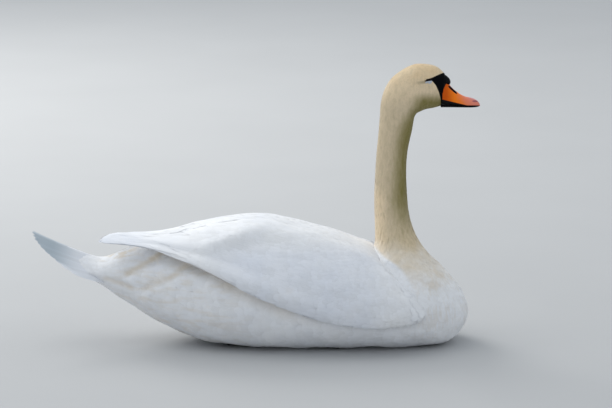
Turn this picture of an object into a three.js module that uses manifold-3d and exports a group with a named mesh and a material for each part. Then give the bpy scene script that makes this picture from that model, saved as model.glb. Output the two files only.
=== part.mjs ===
// A life-size mute swan at rest on its belly, neck upright, as a museum model.
// Millimetres, +X to the bill, +Y to the bird's left, +Z up. The floor is z = 0, and the origin
// is the middle of the flat on which the belly rests.
import * as THREE from 'three';
import { mergeVertices } from 'three/addons/utils/BufferGeometryUtils.js';
import Module from 'manifold-3d';

const wasm = await Module();
wasm.setup();

// ---------------------------------------------------------------- driving dimensions
const SEAM = 0.35; // clear gap between neighbouring pieces
const FLOOR_SIZE = 2000; // edge of the block that trims everything to the floor
const SIDES = { right: -1, left: 1 };

// The body is one tube from the face to the root of the tail. Each station is a slice across it:
// back and belly are its two points on the mid-plane [x, z], half is its half-width, low moves the
// widest place towards the belly, and square is the power of its rounded outline, 2 for an ellipse.
const BODY = [
  // head
  { name: 'face', back: [292, 553], belly: [285, 487.5], half: 15, low: 0, square: 2.1 },
  { name: 'forehead', back: [276, 567], belly: [270, 483.5], half: 25, low: 0, square: 2.1 },
  { name: 'crown', back: [251, 573], belly: [252, 480], half: 32, low: 0, square: 2.1 },
  { name: 'cheek', back: [230, 572], belly: [243, 476], half: 34, low: 0.02, square: 2.1 },
  { name: 'ear', back: [205, 560], belly: [236, 472.5], half: 34.5, low: 0.02, square: 2.1 },
  { name: 'hind_head', back: [184, 543], belly: [232, 466], half: 33.5, low: 0, square: 2.1 },
  { name: 'throat', back: [171, 522], belly: [230, 458], half: 32.5, low: 0, square: 2 },
  { name: 'nape', back: [163.5, 496], belly: [228.5, 448], half: 31.5, low: 0, square: 2 },
  // neck
  { name: 'neck_top', back: [161.3, 468], belly: [226, 434], half: 30.5, low: 0, square: 2 },
  { name: 'neck_a', back: [158, 425], belly: [219.5, 404], half: 29.5, low: 0, square: 2 },
  { name: 'neck_b', back: [154.7, 390], belly: [216.3, 378], half: 29.5, low: 0, square: 2 },
  { name: 'neck_c', back: [152.2, 350], belly: [215.6, 346], half: 30, low: 0, square: 2 },
  { name: 'neck_d', back: [150.6, 310], belly: [217.3, 310], half: 31, low: 0, square: 2 },
  { name: 'neck_e', back: [150.8, 275], belly: [220.6, 273], half: 33.5, low: 0, square: 2 },
  { name: 'neck_f', back: [152, 240], belly: [228.5, 240], half: 38, low: 0, square: 2 },
  { name: 'neck_root', back: [151, 212], belly: [243, 209], half: 47, low: 0.03, square: 2 },
  // breast, where the slices fan round the root of the neck
  { name: 'collar', back: [147, 196], belly: [266, 180], half: 61, low: 0.06, square: 2 },
  { name: 'upper_breast', back: [139, 190], belly: [300, 146], half: 79, low: 0.1, square: 2.05 },
  { name: 'mid_breast', back: [127, 191], belly: [331, 104], half: 90, low: 0.12, square: 2.05 },
  { name: 'breast_front', back: [110, 197], belly: [344, 55], half: 105, low: 0.12, square: 2.05 },
  { name: 'low_breast', back: [88, 206], belly: [316, 10], half: 119, low: 0.12, square: 2.15 },
  { name: 'keel', back: [60, 216], belly: [246, -4], half: 133, low: 0.12, square: 2.3 },
  // trunk
  { name: 'shoulders', back: [20, 229], belly: [138, -6], half: 143, low: 0.12, square: 2.4 },
  { name: 'mid_trunk', back: [-35, 241], belly: [30, -6], half: 147, low: 0.12, square: 2.45 },
  { name: 'loins', back: [-95, 248], belly: [-80, -6], half: 143, low: 0.12, square: 2.45 },
  { name: 'hips', back: [-155, 245], belly: [-160, 0.5], half: 132, low: 0.1, square: 2.4 },
  { name: 'thighs', back: [-215, 234], belly: [-225, 14], half: 113, low: 0.08, square: 2.3 },
  { name: 'vent', back: [-270, 220], belly: [-277, 37], half: 91, low: 0.05, square: 2.2 },
  { name: 'rump', back: [-320, 207], belly: [-325, 63], half: 70, low: 0.03, square: 2.1 },
  { name: 'tail_coverts', back: [-362, 190], belly: [-366, 89], half: 53, low: 0, square: 2 },
  { name: 'tail_root', back: [-398, 175], belly: [-400, 113], half: 40, low: 0, square: 2 },
  { name: 'under_tail', back: [-428, 166], belly: [-428, 129], half: 28, low: 0, square: 2 },
  { name: 'under_tail_tip', back: [-458, 166], belly: [-460, 148], half: 14, low: 0, square: 2 },
];
const TUBE_SIDES = 24;
// Pieces of the tube: the first and last station of each, and how many slices it has.
const TUBE_PIECES = [
  { name: 'head', from: 'face', to: 'nape', slices: 14 },
  { name: 'neck_upper', from: 'nape', to: 'neck_b', slices: 7 },
  { name: 'neck_middle', from: 'neck_b', to: 'neck_e', slices: 6 },
  { name: 'neck_lower', from: 'neck_e', to: 'collar', slices: 6 },
  { name: 'breast', from: 'collar', to: 'keel', slices: 10 },
  { name: 'trunk', from: 'keel', to: 'hips', slices: 8 },
  { name: 'rump', from: 'hips', to: 'under_tail_tip', slices: 12 },
];

// A folded wing, from its shoulder to the tip of its primaries. Each station has its upper and
// lower edge as [x, distance from the mid-plane, z], how far its skin stands out from the line
// between them, and its thickness.
const WING = [
  { upper: [160, 47, 187], lower: [262, 109, 88], bulge: 16, thick: 9 },
  { upper: [152, 43, 190], lower: [252, 119, 77], bulge: 25, thick: 16 },
  { upper: [138, 36, 195], lower: [234, 130, 67], bulge: 35, thick: 24 },
  { upper: [105, 27, 207], lower: [196, 140, 61], bulge: 43, thick: 28 },
  { upper: [60, 20, 224], lower: [138, 149, 60], bulge: 48, thick: 28 },
  { upper: [0, 14, 240], lower: [50, 157, 74], bulge: 51, thick: 28 },
  { upper: [-60, 10, 254], lower: [-40, 156, 105], bulge: 46, thick: 28 },
  { upper: [-115, 8, 256], lower: [-113, 149, 138], bulge: 38, thick: 27 },
  { upper: [-165, 8, 249], lower: [-165, 137, 165], bulge: 29, thick: 25 },
  { upper: [-210, 8, 238], lower: [-210, 121, 184], bulge: 22, thick: 21 },
  { upper: [-255, 8, 227], lower: [-258, 101, 199], bulge: 15, thick: 16 },
  { upper: [-300, 9, 223], lower: [-303, 81, 212], bulge: 9, thick: 12 },
  { upper: [-350, 11, 230], lower: [-354, 60, 215], bulge: 5, thick: 8 },
  { upper: [-386, 18, 228], lower: [-390, 46, 214], bulge: 2, thick: 6 },
  { upper: [-408, 31, 216], lower: [-408, 37, 213.5], bulge: 0.5, thick: 2.5 },
];
const WING_EDGE = 0.3; // thickness left at the two edges, as a share of the middle's
const WING_FULLNESS = 0.62; // below 1 the skin bulges out close to its edges
const WING_ACROSS = 8; // facets from the upper to the lower edge
const WING_SEAM = 0.01; // gap between wing and primaries, as a share of a station
const LEFT_TIP_DROP = 9; // how much lower the left wing's tip lies
const DROP_FROM = 9; // the station behind which that tip sinks
const DROP_OVER = 2.5; // stations that it takes
const WING_PARTS = [
  { name: 'wing', from: 0, to: 10, slices: 13 },
  { name: 'primaries', from: 10, to: 14, slices: 6 },
];

// The tail is a folded fan of stiff feathers, roofed, with the middle pair longest and on top.
const TAIL = {
  pairs: 10,
  root: [-384, 164], // x and z of the middle pair's root
  root_step: 2.6, // distance between neighbouring roots
  rise: 19, // degrees by which the feathers point up
  curl: 9, // mm by which a tip turns up further
  length: 173,
  shorter: [1.2, 0.8], // how much shorter a pair is, for its number and for its square
  spread: 2.3, // degrees between neighbouring feathers
  step: 3.9, // each pair lies this much lower than the one inside it
  notch: 7, // depth of the gap between two tips
  ridge: 0.9, // how far a feather's middle stands above its edges
  thick: 2.4,
  slices: 3,
};

// The bill: stations from its base to its tip, with the top and bottom of each slice. The upper
// bill is a rounded roof over a flat floor, and the lower one the reverse. edge is the share of
// its height that lies beyond its widest line, on the flat side, and dome is its roundness.
const UPPER_BILL_STATIONS = [
  { x: 286, top: 552, bottom: 491.5, half: 16.5 },
  { x: 296, top: 538, bottom: 491, half: 16 },
  { x: 305, top: 526.5, bottom: 490.3, half: 15.6 },
  { x: 314, top: 518, bottom: 489.7, half: 15.4 },
  { x: 324, top: 511, bottom: 489.2, half: 15.8 },
  { x: 335, top: 506, bottom: 488.8, half: 16.4 },
  { x: 346, top: 503.2, bottom: 488.3, half: 16.4 },
  { x: 354, top: 500, bottom: 487.9, half: 14.6 },
  { x: 360, top: 495.5, bottom: 487.6, half: 11 },
  { x: 363.5, top: 490.5, bottom: 487.4, half: 5 },
];
const LOWER_BILL_STATIONS = [
  { x: 284, top: 491, bottom: 485, half: 14.5 },
  { x: 300, top: 490.4, bottom: 485, half: 14 },
  { x: 318, top: 489.3, bottom: 485, half: 14.2 },
  { x: 338, top: 488.5, bottom: 485, half: 15 },
  { x: 350, top: 487.9, bottom: 485.2, half: 13.4 },
  { x: 357, top: 487.5, bottom: 485.6, half: 9 },
  { x: 361, top: 487.3, bottom: 486, half: 3.5 },
];
const UPPER_BILL = { stations: UPPER_BILL_STATIONS, slices: 11, edge: 0.12, dome: 1.18, hanging: false };
const LOWER_BILL = { stations: LOWER_BILL_STATIONS, slices: 7, edge: 0.12, dome: 0.9, hanging: true };
const BILL_SIDES = 16;
const BILL_SQUARENESS = 0.8; // below 1 the sides of the bill are steeper
const KNOB = { centre: [287.5, 0, 542], radii: [15.5, 11, 11.5], turn: 38, segments: [16, 10] };
const EYE = { centre: [260.5, 21.5, 540.5], radius: 8.2, segments: [14, 9] };

// Legs folded under the belly. Each foot is half closed, toes forward.
const LEG = {
  heel: [-150, 46, 9],
  ankle: [-52, 42, 7.5],
  heel_radius: 7.7,
  ankle_radius: 5.9,
  swell: 0.25, // how much thicker it is at its two ends
  flat: 0.85, // its width as a share of its height
  slices: 4,
  sides: 8,
};
const FOOT = {
  ankle: [-46, 42],
  toes: [
    { tip: [80, 22], radius: 3 }, // inner
    { tip: [96, 45], radius: 3.4 }, // middle
    { tip: [78, 69], radius: 3 }, // outer
  ],
  taper: 0.6, // a toe's width at its tip as a share of that at its root
  knuckle: 0.14, // how much wider its knuckles are
  knuckles: 2,
  outline: [[-1, -0.2], [-1, 0.9], [-0.5, 1.7], [0.5, 1.7], [1, 0.9], [1, -0.2]], // in toe widths
  web: 2.4, // thickness
  web_dip: 10, // how far the web's edge lies behind the line between two toe tips
  joint: 7, // half the width of the foot at the ankle
  slices: 4,
  clear: 1, // gap between a tucked leg and the belly
};

const COLOURS = {
  cream: new THREE.Color(0.72, 0.64, 0.5),
  white: new THREE.Color(0.86, 0.87, 0.88),
  orange: new THREE.Color(0.8, 0.3, 0.07),
  black: new THREE.Color(0.02, 0.02, 0.022),
  slate: new THREE.Color(0.09, 0.095, 0.1),
};

// ---------------------------------------------------------------- solids
// A closed mesh as a manifold solid, with its faces turned outwards.
function solid(geometry) {
  const plain = new THREE.BufferGeometry();
  plain.setAttribute('position', geometry.getAttribute('position').clone());
  if (geometry.index) plain.setIndex(geometry.index.clone());
  const merged = mergeVertices(plain, 1e-4);
  const build = (triVerts) =>
    new wasm.Manifold(
      new wasm.Mesh({ numProp: 3, vertProperties: merged.attributes.position.array, triVerts }),
    );
  const triangles = new Uint32Array(merged.index.array);
  const made = build(triangles);
  if (made.volume() > 0) return made;
  for (let i = 0; i < triangles.length; i += 3) {
    [triangles[i + 1], triangles[i + 2]] = [triangles[i + 2], triangles[i + 1]];
  }
  return build(triangles);
}

function geometryOf(made) {
  const mesh = made.getMesh();
  const positions = new Float32Array(mesh.numVert * 3);
  for (let i = 0; i < mesh.numVert; i++) {
    positions.set(mesh.vertProperties.subarray(i * mesh.numProp, i * mesh.numProp + 3), i * 3);
  }
  const geometry = new THREE.BufferGeometry();
  geometry.setAttribute('position', new THREE.BufferAttribute(positions, 3));
  geometry.setIndex(new THREE.BufferAttribute(mesh.triVerts, 1));
  geometry.computeVertexNormals();
  return geometry;
}

// A closed skin over rings of points, all of one length, with a fan over each end ring.
function skinOver(rings) {
  const around = rings[0].length;
  const middle = (ring) =>
    ring.reduce((sum, p) => sum.add(p), new THREE.Vector3()).multiplyScalar(1 / ring.length);
  const points = rings.flat();
  const first = points.push(middle(rings[0])) - 1;
  const last = points.push(middle(rings[rings.length - 1])) - 1;
  const faces = [];
  for (let r = 0; r + 1 < rings.length; r++) {
    for (let i = 0; i < around; i++) {
      const j = (i + 1) % around;
      const [here, there] = [r * around, (r + 1) * around];
      faces.push(here + i, here + j, there + j, here + i, there + j, there + i);
    }
  }
  const end = (rings.length - 1) * around;
  for (let i = 0; i < around; i++) {
    const j = (i + 1) % around;
    faces.push(first, j, i, last, end + i, end + j);
  }
  const geometry = new THREE.BufferGeometry().setFromPoints(points);
  geometry.setIndex(faces);
  return solid(geometry);
}

// Smooth values through rows of numbers at given knots.
function smoothRows(knots, rows) {
  const slope = (i) =>
    rows[i].map((value, c) => (rows[i + 1][c] - value) / (knots[i + 1] - knots[i]));
  const last = rows.length - 1;
  const tangents = rows.map((row, i) => {
    if (i === 0) return slope(0);
    if (i === last) return slope(last - 1);
    const before = knots[i] - knots[i - 1];
    const after = knots[i + 1] - knots[i];
    const [left, right] = [slope(i - 1), slope(i)];
    return row.map((_, c) => (left[c] * after + right[c] * before) / (before + after));
  });
  return (knot) => {
    let i = 0;
    while (i < last - 1 && knot > knots[i + 1]) i++;
    const span = knots[i + 1] - knots[i];
    const t = (knot - knots[i]) / span;
    const [t2, t3] = [t * t, t * t * t];
    return rows[i].map(
      (value, c) =>
        (2 * t3 - 3 * t2 + 1) * value +
        (t3 - 2 * t2 + t) * span * tangents[i][c] +
        (3 * t2 - 2 * t3) * rows[i + 1][c] +
        (t3 - t2) * span * tangents[i + 1][c],
    );
  };
}

const signedPower = (value, power) => Math.sign(value) * Math.abs(value) ** power;
const spaced = (from, to, steps) =>
  Array.from({ length: steps + 1 }, (_, i) => from + ((to - from) * i) / steps);

// ---------------------------------------------------------------- the body's tube
const bodyKnots = [0];
for (let i = 1; i < BODY.length; i++) {
  const [before, here] = [BODY[i - 1], BODY[i]];
  const move = (key) => Math.hypot(here[key][0] - before[key][0], here[key][1] - before[key][1]);
  bodyKnots.push(bodyKnots[i - 1] + (move('back') + move('belly')) / 2);
}
const bodyRow = smoothRows(
  bodyKnots,
  BODY.map((s) => [...s.back, ...s.belly, s.half, s.low, s.square]),
);
const knotOf = (name) => bodyKnots[BODY.findIndex((s) => s.name === name)];

// One slice of the tube, grown outwards all round by `grow`.
function bodyRing(knot, grow = 0) {
  const [backX, backZ, bellyX, bellyZ, half, low, square] = bodyRow(knot);
  const reach = Math.hypot(backX - bellyX, backZ - bellyZ) / 2;
  const scale = (reach + grow) / reach;
  return spaced(0, 2 * Math.PI, TUBE_SIDES)
    .slice(0, -1)
    .map((angle) => {
      const up = signedPower(Math.cos(angle), 2 / square) * scale;
      const out = signedPower(Math.sin(angle), 2 / square) * (half + grow);
      return new THREE.Vector3(
        (backX + bellyX) / 2 + ((backX - bellyX) / 2) * up,
        out * (1 - low * Math.cos(angle)),
        (backZ + bellyZ) / 2 + ((backZ - bellyZ) / 2) * up,
      );
    });
}
const pieceKnots = ({ from, to, slices }) => spaced(knotOf(from), knotOf(to), slices);
const bodyTube = (knots, grow = 0) => skinOver(knots.map((knot) => bodyRing(knot, grow)));

// A piece stops just short of the next one.
function shortened(knots) {
  const last = knots.length - 1;
  return [...knots.slice(0, last), knots[last] - 2 * SEAM];
}

// The biggest of the bodies that a cut has left.
const biggest = (made) => made.decompose().reduce((a, b) => (b.volume() > a.volume() ? b : a));

const above = solid(
  new THREE.BoxGeometry(FLOOR_SIZE, FLOOR_SIZE, FLOOR_SIZE).translate(0, 0, FLOOR_SIZE / 2),
);

// ---------------------------------------------------------------- wings
const wingRow = smoothRows(
  WING.map((_, i) => i),
  WING.map((s) => [...s.upper, ...s.lower, s.bulge, s.thick]),
);

function wingRing(at, side) {
  const [ux, uy, uz, lx, ly, lz, bulge, thick] = wingRow(at);
  const upper = new THREE.Vector3(ux, uy, uz);
  const lower = new THREE.Vector3(lx, ly, lz);
  const chord = lower.clone().sub(upper).normalize();
  const out = new THREE.Vector3(1, 0, 0).cross(chord).normalize();
  const across = (share, face) => {
    const round = (4 * share * (1 - share)) ** WING_FULLNESS;
    const depth = thick * (WING_EDGE + (1 - WING_EDGE) * Math.sqrt(round));
    return upper
      .clone()
      .lerp(lower, share)
      .addScaledVector(out, bulge * round + (face === 'outer' ? 0 : -depth));
  };
  const shares = spaced(0, 1, WING_ACROSS);
  const ring = [
    ...shares.map((share) => across(share, 'outer')),
    ...shares.reverse().map((share) => across(share, 'inner')),
  ];
  const sunk = THREE.MathUtils.smoothstep(at, DROP_FROM, DROP_FROM + DROP_OVER);
  const drop = sunk * (side === SIDES.left ? LEFT_TIP_DROP : 0);
  return ring.map((p) => new THREE.Vector3(p.x, p.y * side, p.z - drop));
}

// ---------------------------------------------------------------- tail
// A section along the fan. Whole numbers lie between two feathers, and halves on a feather's middle.
function tailSection(across) {
  const onFeather = across % 1 !== 0;
  const pair = Math.max(0, Math.abs(across) - 0.5);
  const shorter = TAIL.shorter[0] * pair + TAIL.shorter[1] * pair ** 2;
  const length = TAIL.length - shorter - (onFeather ? 0 : TAIL.notch);
  const angle = THREE.MathUtils.degToRad(TAIL.spread * across);
  const rise = THREE.MathUtils.degToRad(TAIL.rise);
  const line = (lift) => (share) => new THREE.Vector3(
    TAIL.root[0] - length * share * Math.cos(rise) * Math.cos(angle),
    TAIL.root_step * across + length * share * Math.sin(angle),
    TAIL.root[1] - TAIL.step * pair + length * share * Math.sin(rise) + TAIL.curl * share ** 3 + lift,
  );
  const shares = spaced(0, 1, TAIL.slices);
  return [
    ...shares.map(line(TAIL.thick / 2 + (onFeather ? TAIL.ridge : 0))),
    ...shares.reverse().map(line(-TAIL.thick / 2)),
  ];
}
const tailFan = () => skinOver(spaced(-TAIL.pairs, TAIL.pairs, 4 * TAIL.pairs).map(tailSection));

// ---------------------------------------------------------------- bill, knob and eyes
function billRing({ edge, dome, hanging }, x, [top, bottom, half]) {
  return spaced(0, 2 * Math.PI, BILL_SIDES)
    .slice(0, -1)
    .map((angle) => {
      const out = signedPower(Math.cos(angle), BILL_SQUARENESS) * half;
      const up = signedPower(Math.sin(angle), dome);
      const share = up >= 0 ? edge + (1 - edge) * up : edge * (1 + up);
      return new THREE.Vector3(x, out, bottom + (top - bottom) * (hanging ? 1 - share : share));
    });
}
function bill(shape) {
  const { stations, slices } = shape;
  const row = smoothRows(
    stations.map((s) => s.x),
    stations.map((s) => [s.top, s.bottom, s.half]),
  );
  const [from, to] = [stations[0].x, stations[stations.length - 1].x];
  const rings = spaced(0, Math.PI / 2, slices).map((turn) => {
    const x = from + (to - from) * Math.sin(turn);
    return billRing(shape, x, row(x));
  });
  return skinOver(rings);
}

function knob(grow = 0) {
  const shape = new THREE.SphereGeometry(1, ...KNOB.segments);
  shape.scale(...KNOB.radii.map((r) => r + grow));
  shape.rotateY(THREE.MathUtils.degToRad(KNOB.turn));
  shape.translate(...KNOB.centre);
  return solid(shape);
}

function eyeball(side, grow = 0) {
  const shape = new THREE.SphereGeometry(EYE.radius + grow, ...EYE.segments);
  shape.translate(EYE.centre[0], EYE.centre[1] * side, EYE.centre[2]);
  return solid(shape);
}

// ---------------------------------------------------------------- legs and feet
function leg(side, grow = 0) {
  const heel = new THREE.Vector3(...LEG.heel);
  const ankle = new THREE.Vector3(...LEG.ankle);
  const rings = spaced(0, 1, LEG.slices).map((share) => {
    const middle = heel.clone().lerp(ankle, share);
    const swell = 1 + LEG.swell * Math.abs(2 * share - 1) ** 4;
    const radius = THREE.MathUtils.lerp(LEG.heel_radius, LEG.ankle_radius, share) * swell + grow;
    return spaced(0, 2 * Math.PI, LEG.sides)
      .slice(0, -1)
      .map((angle) => new THREE.Vector3(
        middle.x - (share === 0 ? grow : 0),
        (middle.y + Math.cos(angle) * radius * LEG.flat) * side,
        middle.z + Math.sin(angle) * radius,
      ));
  });
  return skinOver(rings);
}

// A toe is a tapered bar whose flat sole is on the floor.
function toe({ tip, radius }, side, grow = 0) {
  const from = new THREE.Vector2(...FOOT.ankle);
  const to = new THREE.Vector2(...tip);
  const along = to.clone().sub(from).normalize();
  const across = new THREE.Vector2(-along.y, along.x);
  from.addScaledVector(along, -grow);
  to.addScaledVector(along, grow);
  const rings = spaced(0, 1, FOOT.slices).map((share) => {
    const middle = from.clone().lerp(to, share);
    const knuckle = 1 + FOOT.knuckle * Math.cos(share * FOOT.knuckles * 2 * Math.PI);
    const width = radius * THREE.MathUtils.lerp(1, FOOT.taper, share ** 2) * knuckle + grow;
    return FOOT.outline.map(([out, up]) => {
      const p = middle.clone().addScaledVector(across, out * width);
      return new THREE.Vector3(p.x, p.y * side, up * width);
    });
  });
  return skinOver(rings);
}

// The web is a thin sheet between the toes, with its front edge curved back between their tips.
function web(side, grow = 0) {
  const [x, y] = FOOT.ankle;
  const tips = FOOT.toes.map((t) => new THREE.Vector2(...t.tip));
  const outline = new THREE.Shape();
  outline.moveTo(x - grow, y - FOOT.joint - grow);
  outline.lineTo(tips[0].x, tips[0].y - grow);
  for (const [i, tip] of tips.slice(1).entries()) {
    const dip = tips[i].clone().lerp(tip, 0.5);
    outline.quadraticCurveTo(dip.x - FOOT.web_dip, dip.y, tip.x, tip.y);
  }
  outline.lineTo(x - grow, y + FOOT.joint + grow);
  outline.closePath();
  const sheet = new THREE.ExtrudeGeometry(outline, {
    depth: FOOT.web + 2 * grow, bevelEnabled: false, curveSegments: FOOT.slices,
  });
  if (side < 0) sheet.scale(1, -1, 1);
  sheet.translate(0, 0, -grow);
  return solid(sheet);
}

const foot = (side, grow = 0) =>
  FOOT.toes.reduce((all, t) => all.add(toe(t, side, grow)), web(side, grow)).intersect(above);

// ---------------------------------------------------------------- assembly
const group = new THREE.Group();
const finish = (color, roughness) => new THREE.MeshStandardMaterial({ color, roughness, metalness: 0 });
const materials = {
  cream: finish(COLOURS.cream, 0.85),
  white: finish(COLOURS.white, 0.8),
  orange: finish(COLOURS.orange, 0.45),
  black: finish(COLOURS.black, 0.35),
  slate: finish(COLOURS.slate, 0.6),
};
function place(name, made, material) {
  const mesh = new THREE.Mesh(geometryOf(made), materials[material]);
  mesh.name = name;
  group.add(mesh);
}

// The whole tube with the gap to its neighbours, on the same slices as its pieces.
const wholeBody = bodyTube(
  TUBE_PIECES.flatMap((piece, i) => pieceKnots(piece).slice(i === 0 ? 0 : 1)),
  SEAM,
);
const joined = (solids) => solids.reduce((all, one) => all.add(one));
const sides = Object.entries(SIDES);
const tuckedLegs = joined(
  sides.map(([, side]) => foot(side, FOOT.clear).hull().add(leg(side, FOOT.clear))),
);
const sockets = joined(sides.map(([, side]) => eyeball(side, SEAM)));

for (const piece of TUBE_PIECES) {
  const whole = bodyTube(shortened(pieceKnots(piece)));
  if (piece.name === 'head') place('head', whole.subtract(sockets), 'cream');
  else if (piece.name.startsWith('neck')) place(piece.name, whole, 'cream');
  else place(piece.name, whole.intersect(above).subtract(tuckedLegs), 'white');
}

const upperBill = bill(UPPER_BILL);
place('bill_upper', upperBill.subtract(wholeBody).subtract(knob(SEAM)), 'orange');
const upperFloor = upperBill.translate(0, 0, -SEAM);
place('bill_lower', bill(LOWER_BILL).subtract(wholeBody).subtract(upperFloor), 'black');
place('bill_knob', knob().subtract(wholeBody), 'black');

for (const [name, side] of sides) {
  place(`eye_${name}`, eyeball(side), 'black');
  for (const part of WING_PARTS) {
    const rings = spaced(part.from, part.to - WING_SEAM, part.slices).map((at) => wingRing(at, side));
    place(`${part.name}_${name}`, biggest(skinOver(rings).subtract(wholeBody)), 'white');
  }
  place(`leg_${name}`, leg(side).intersect(above).subtract(foot(side, SEAM)), 'slate');
  place(`foot_${name}`, foot(side), 'slate');
}
place('tail', tailFan().subtract(wholeBody), 'white');

export default group;
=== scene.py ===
"""The looks of a life-size mute swan at rest: skin, plumage, bill, eyes, legs and feet.

The tables give millimetres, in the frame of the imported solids. Meshes are made in metres.
"""

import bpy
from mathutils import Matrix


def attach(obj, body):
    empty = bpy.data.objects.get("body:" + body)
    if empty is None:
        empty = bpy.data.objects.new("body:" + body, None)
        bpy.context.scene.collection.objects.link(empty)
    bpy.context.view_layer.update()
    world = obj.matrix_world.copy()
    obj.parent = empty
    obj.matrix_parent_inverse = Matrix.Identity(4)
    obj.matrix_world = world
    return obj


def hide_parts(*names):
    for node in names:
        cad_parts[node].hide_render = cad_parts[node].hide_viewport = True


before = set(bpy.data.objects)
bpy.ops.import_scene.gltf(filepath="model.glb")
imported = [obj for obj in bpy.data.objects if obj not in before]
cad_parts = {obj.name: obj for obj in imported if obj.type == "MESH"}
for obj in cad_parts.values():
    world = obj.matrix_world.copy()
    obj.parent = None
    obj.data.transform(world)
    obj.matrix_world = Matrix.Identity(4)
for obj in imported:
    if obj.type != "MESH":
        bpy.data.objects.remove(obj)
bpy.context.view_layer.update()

import math
from functools import cached_property

import bpy
import numpy as np
from mathutils import Vector

MM = 0.001
SEED = 417
TURN = 2 * math.pi
UP = np.array([0, 0, 1.0])
SIDES = {"right": -1, "left": 1}
CHART_MARGIN = 0.03

# ------------------------------------------------------------------ the form of the body
# Slices from the face to the root of the tail: the points on the back and on the belly [x, z],
# the half-width, how far the widest place lies towards the belly, and the roundness.
BODY = {
    "face": ((292, 553), (285, 487.5), 15, 0, 2.1),
    "forehead": ((276, 567), (270, 483.5), 25, 0, 2.1),
    "crown": ((251, 573), (252, 480), 32, 0, 2.1),
    "cheek": ((230, 572), (243, 476), 34, 0.02, 2.1),
    "ear": ((205, 560), (236, 472.5), 34.5, 0.02, 2.1),
    "hind_head": ((184, 543), (232, 466), 33.5, 0, 2.1),
    "throat": ((171, 522), (230, 458), 32.5, 0, 2),
    "nape": ((163.5, 496), (228.5, 448), 31.5, 0, 2),
    "neck_top": ((161.3, 468), (226, 434), 30.5, 0, 2),
    "neck_a": ((158, 425), (219.5, 404), 29.5, 0, 2),
    "neck_b": ((154.7, 390), (216.3, 378), 29.5, 0, 2),
    "neck_c": ((152.2, 350), (215.6, 346), 30, 0, 2),
    "neck_d": ((150.6, 310), (217.3, 310), 31, 0, 2),
    "neck_e": ((150.8, 275), (220.6, 273), 33.5, 0, 2),
    "neck_f": ((152, 240), (228.5, 240), 38, 0, 2),
    "neck_root": ((151, 212), (243, 209), 47, 0.03, 2),
    "collar": ((147, 196), (266, 180), 61, 0.06, 2),
    "upper_breast": ((139, 190), (300, 146), 79, 0.1, 2.05),
    "mid_breast": ((127, 191), (331, 104), 90, 0.12, 2.05),
    "breast_front": ((110, 197), (344, 55), 105, 0.12, 2.05),
    "low_breast": ((88, 206), (316, 10), 119, 0.12, 2.15),
    "keel": ((60, 216), (246, -4), 133, 0.12, 2.3),
    "shoulders": ((20, 229), (138, -6), 143, 0.12, 2.4),
    "mid_trunk": ((-35, 241), (30, -6), 147, 0.12, 2.45),
    "loins": ((-95, 248), (-80, -6), 143, 0.12, 2.45),
    "hips": ((-155, 245), (-160, 0.5), 132, 0.1, 2.4),
    "thighs": ((-215, 234), (-225, 14), 113, 0.08, 2.3),
    "vent": ((-270, 220), (-277, 37), 91, 0.05, 2.2),
    "rump": ((-320, 207), (-325, 63), 70, 0.03, 2.1),
    "tail_coverts": ((-362, 190), (-366, 89), 53, 0, 2),
    "tail_root": ((-398, 175), (-400, 113), 40, 0, 2),
    "under_tail": ((-428, 171), (-428, 129), 28, 0, 2),
    "under_tail_tip": ((-458, 180), (-460, 153), 15, 0, 2),
}

# A folded wing from its shoulder to its tip: the upper and the lower edge [x, distance from the
# mid-plane, z], how far the skin stands out from the line between them, and the thickness.
WING = (
    ((160, 47, 187), (262, 109, 88), 16, 9),
    ((152, 43, 190), (252, 119, 77), 25, 16),
    ((138, 36, 195), (234, 130, 67), 35, 24),
    ((105, 27, 207), (196, 140, 61), 43, 28),
    ((60, 20, 224), (138, 149, 60), 48, 28),
    ((0, 14, 240), (50, 157, 74), 51, 28),
    ((-60, 10, 254), (-40, 156, 105), 46, 28),
    ((-115, 8, 256), (-113, 149, 138), 38, 27),
    ((-165, 8, 249), (-165, 137, 165), 29, 25),
    ((-210, 8, 238), (-210, 121, 184), 22, 21),
    ((-255, 8, 227), (-258, 101, 199), 15, 16),
    ((-300, 9, 223), (-303, 81, 212), 9, 12),
    ((-350, 11, 230), (-354, 60, 215), 5, 8),
    ((-386, 18, 228), (-390, 46, 214), 2, 6),
    ((-408, 31, 216), (-408, 37, 213.5), 0.5, 2.5),
)
WING_TIP = len(WING) - 1
WING_EDGE = 0.3
# How square a wing's section is, as (station, power).
WING_FULLNESS = ((6.2, 0.62), (9, 0.92))
# The upper rim of the hollow in a folded wing, as (station, share).
HOLLOW_CREST = ((4.8, 0.2), (6.2, 0.25), (6.95, 0.37), (7.75, 0.53), (8.4, 0.65), (8.9, 0.73))
HOLLOW = dict(depth=10.5, station=6.9, reach=1.65)
# How far the plumage swells along that rim.
CREST_SWELL = {"right": 4.6, "left": 1.5}
# The rolled lower edge and the groove above it, as (height, share, width), and the stations
# between which they rise and fall.
REAR_RIDGES = ((1.8, 0.95, 0.06), (-2.6, 0.81, 0.05))
REAR_RISE, REAR_FALL = (6.0, 7.5), (12.5, 11)
# The plumage dips at the shoulder, in a slanting groove between two tracts of coverts, and where
# the wing is widest, so that it keeps within the bird's width.
SHOULDER_DIP = dict(depth=5, reach=1.8)
TRACT_GROOVE = dict(depth=1.6, station=5.6, share=0.5, slant=0.05, length=0.5, width=0.035)
WIDEST_DIP = dict(depth=3.2, start=148, full=161)
# How much lower the left wing's tip lies, and the stations over which it sinks.
LEFT_TIP_DROP = 9
DROP_FROM, DROP_TO = 9, 11.5

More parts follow.
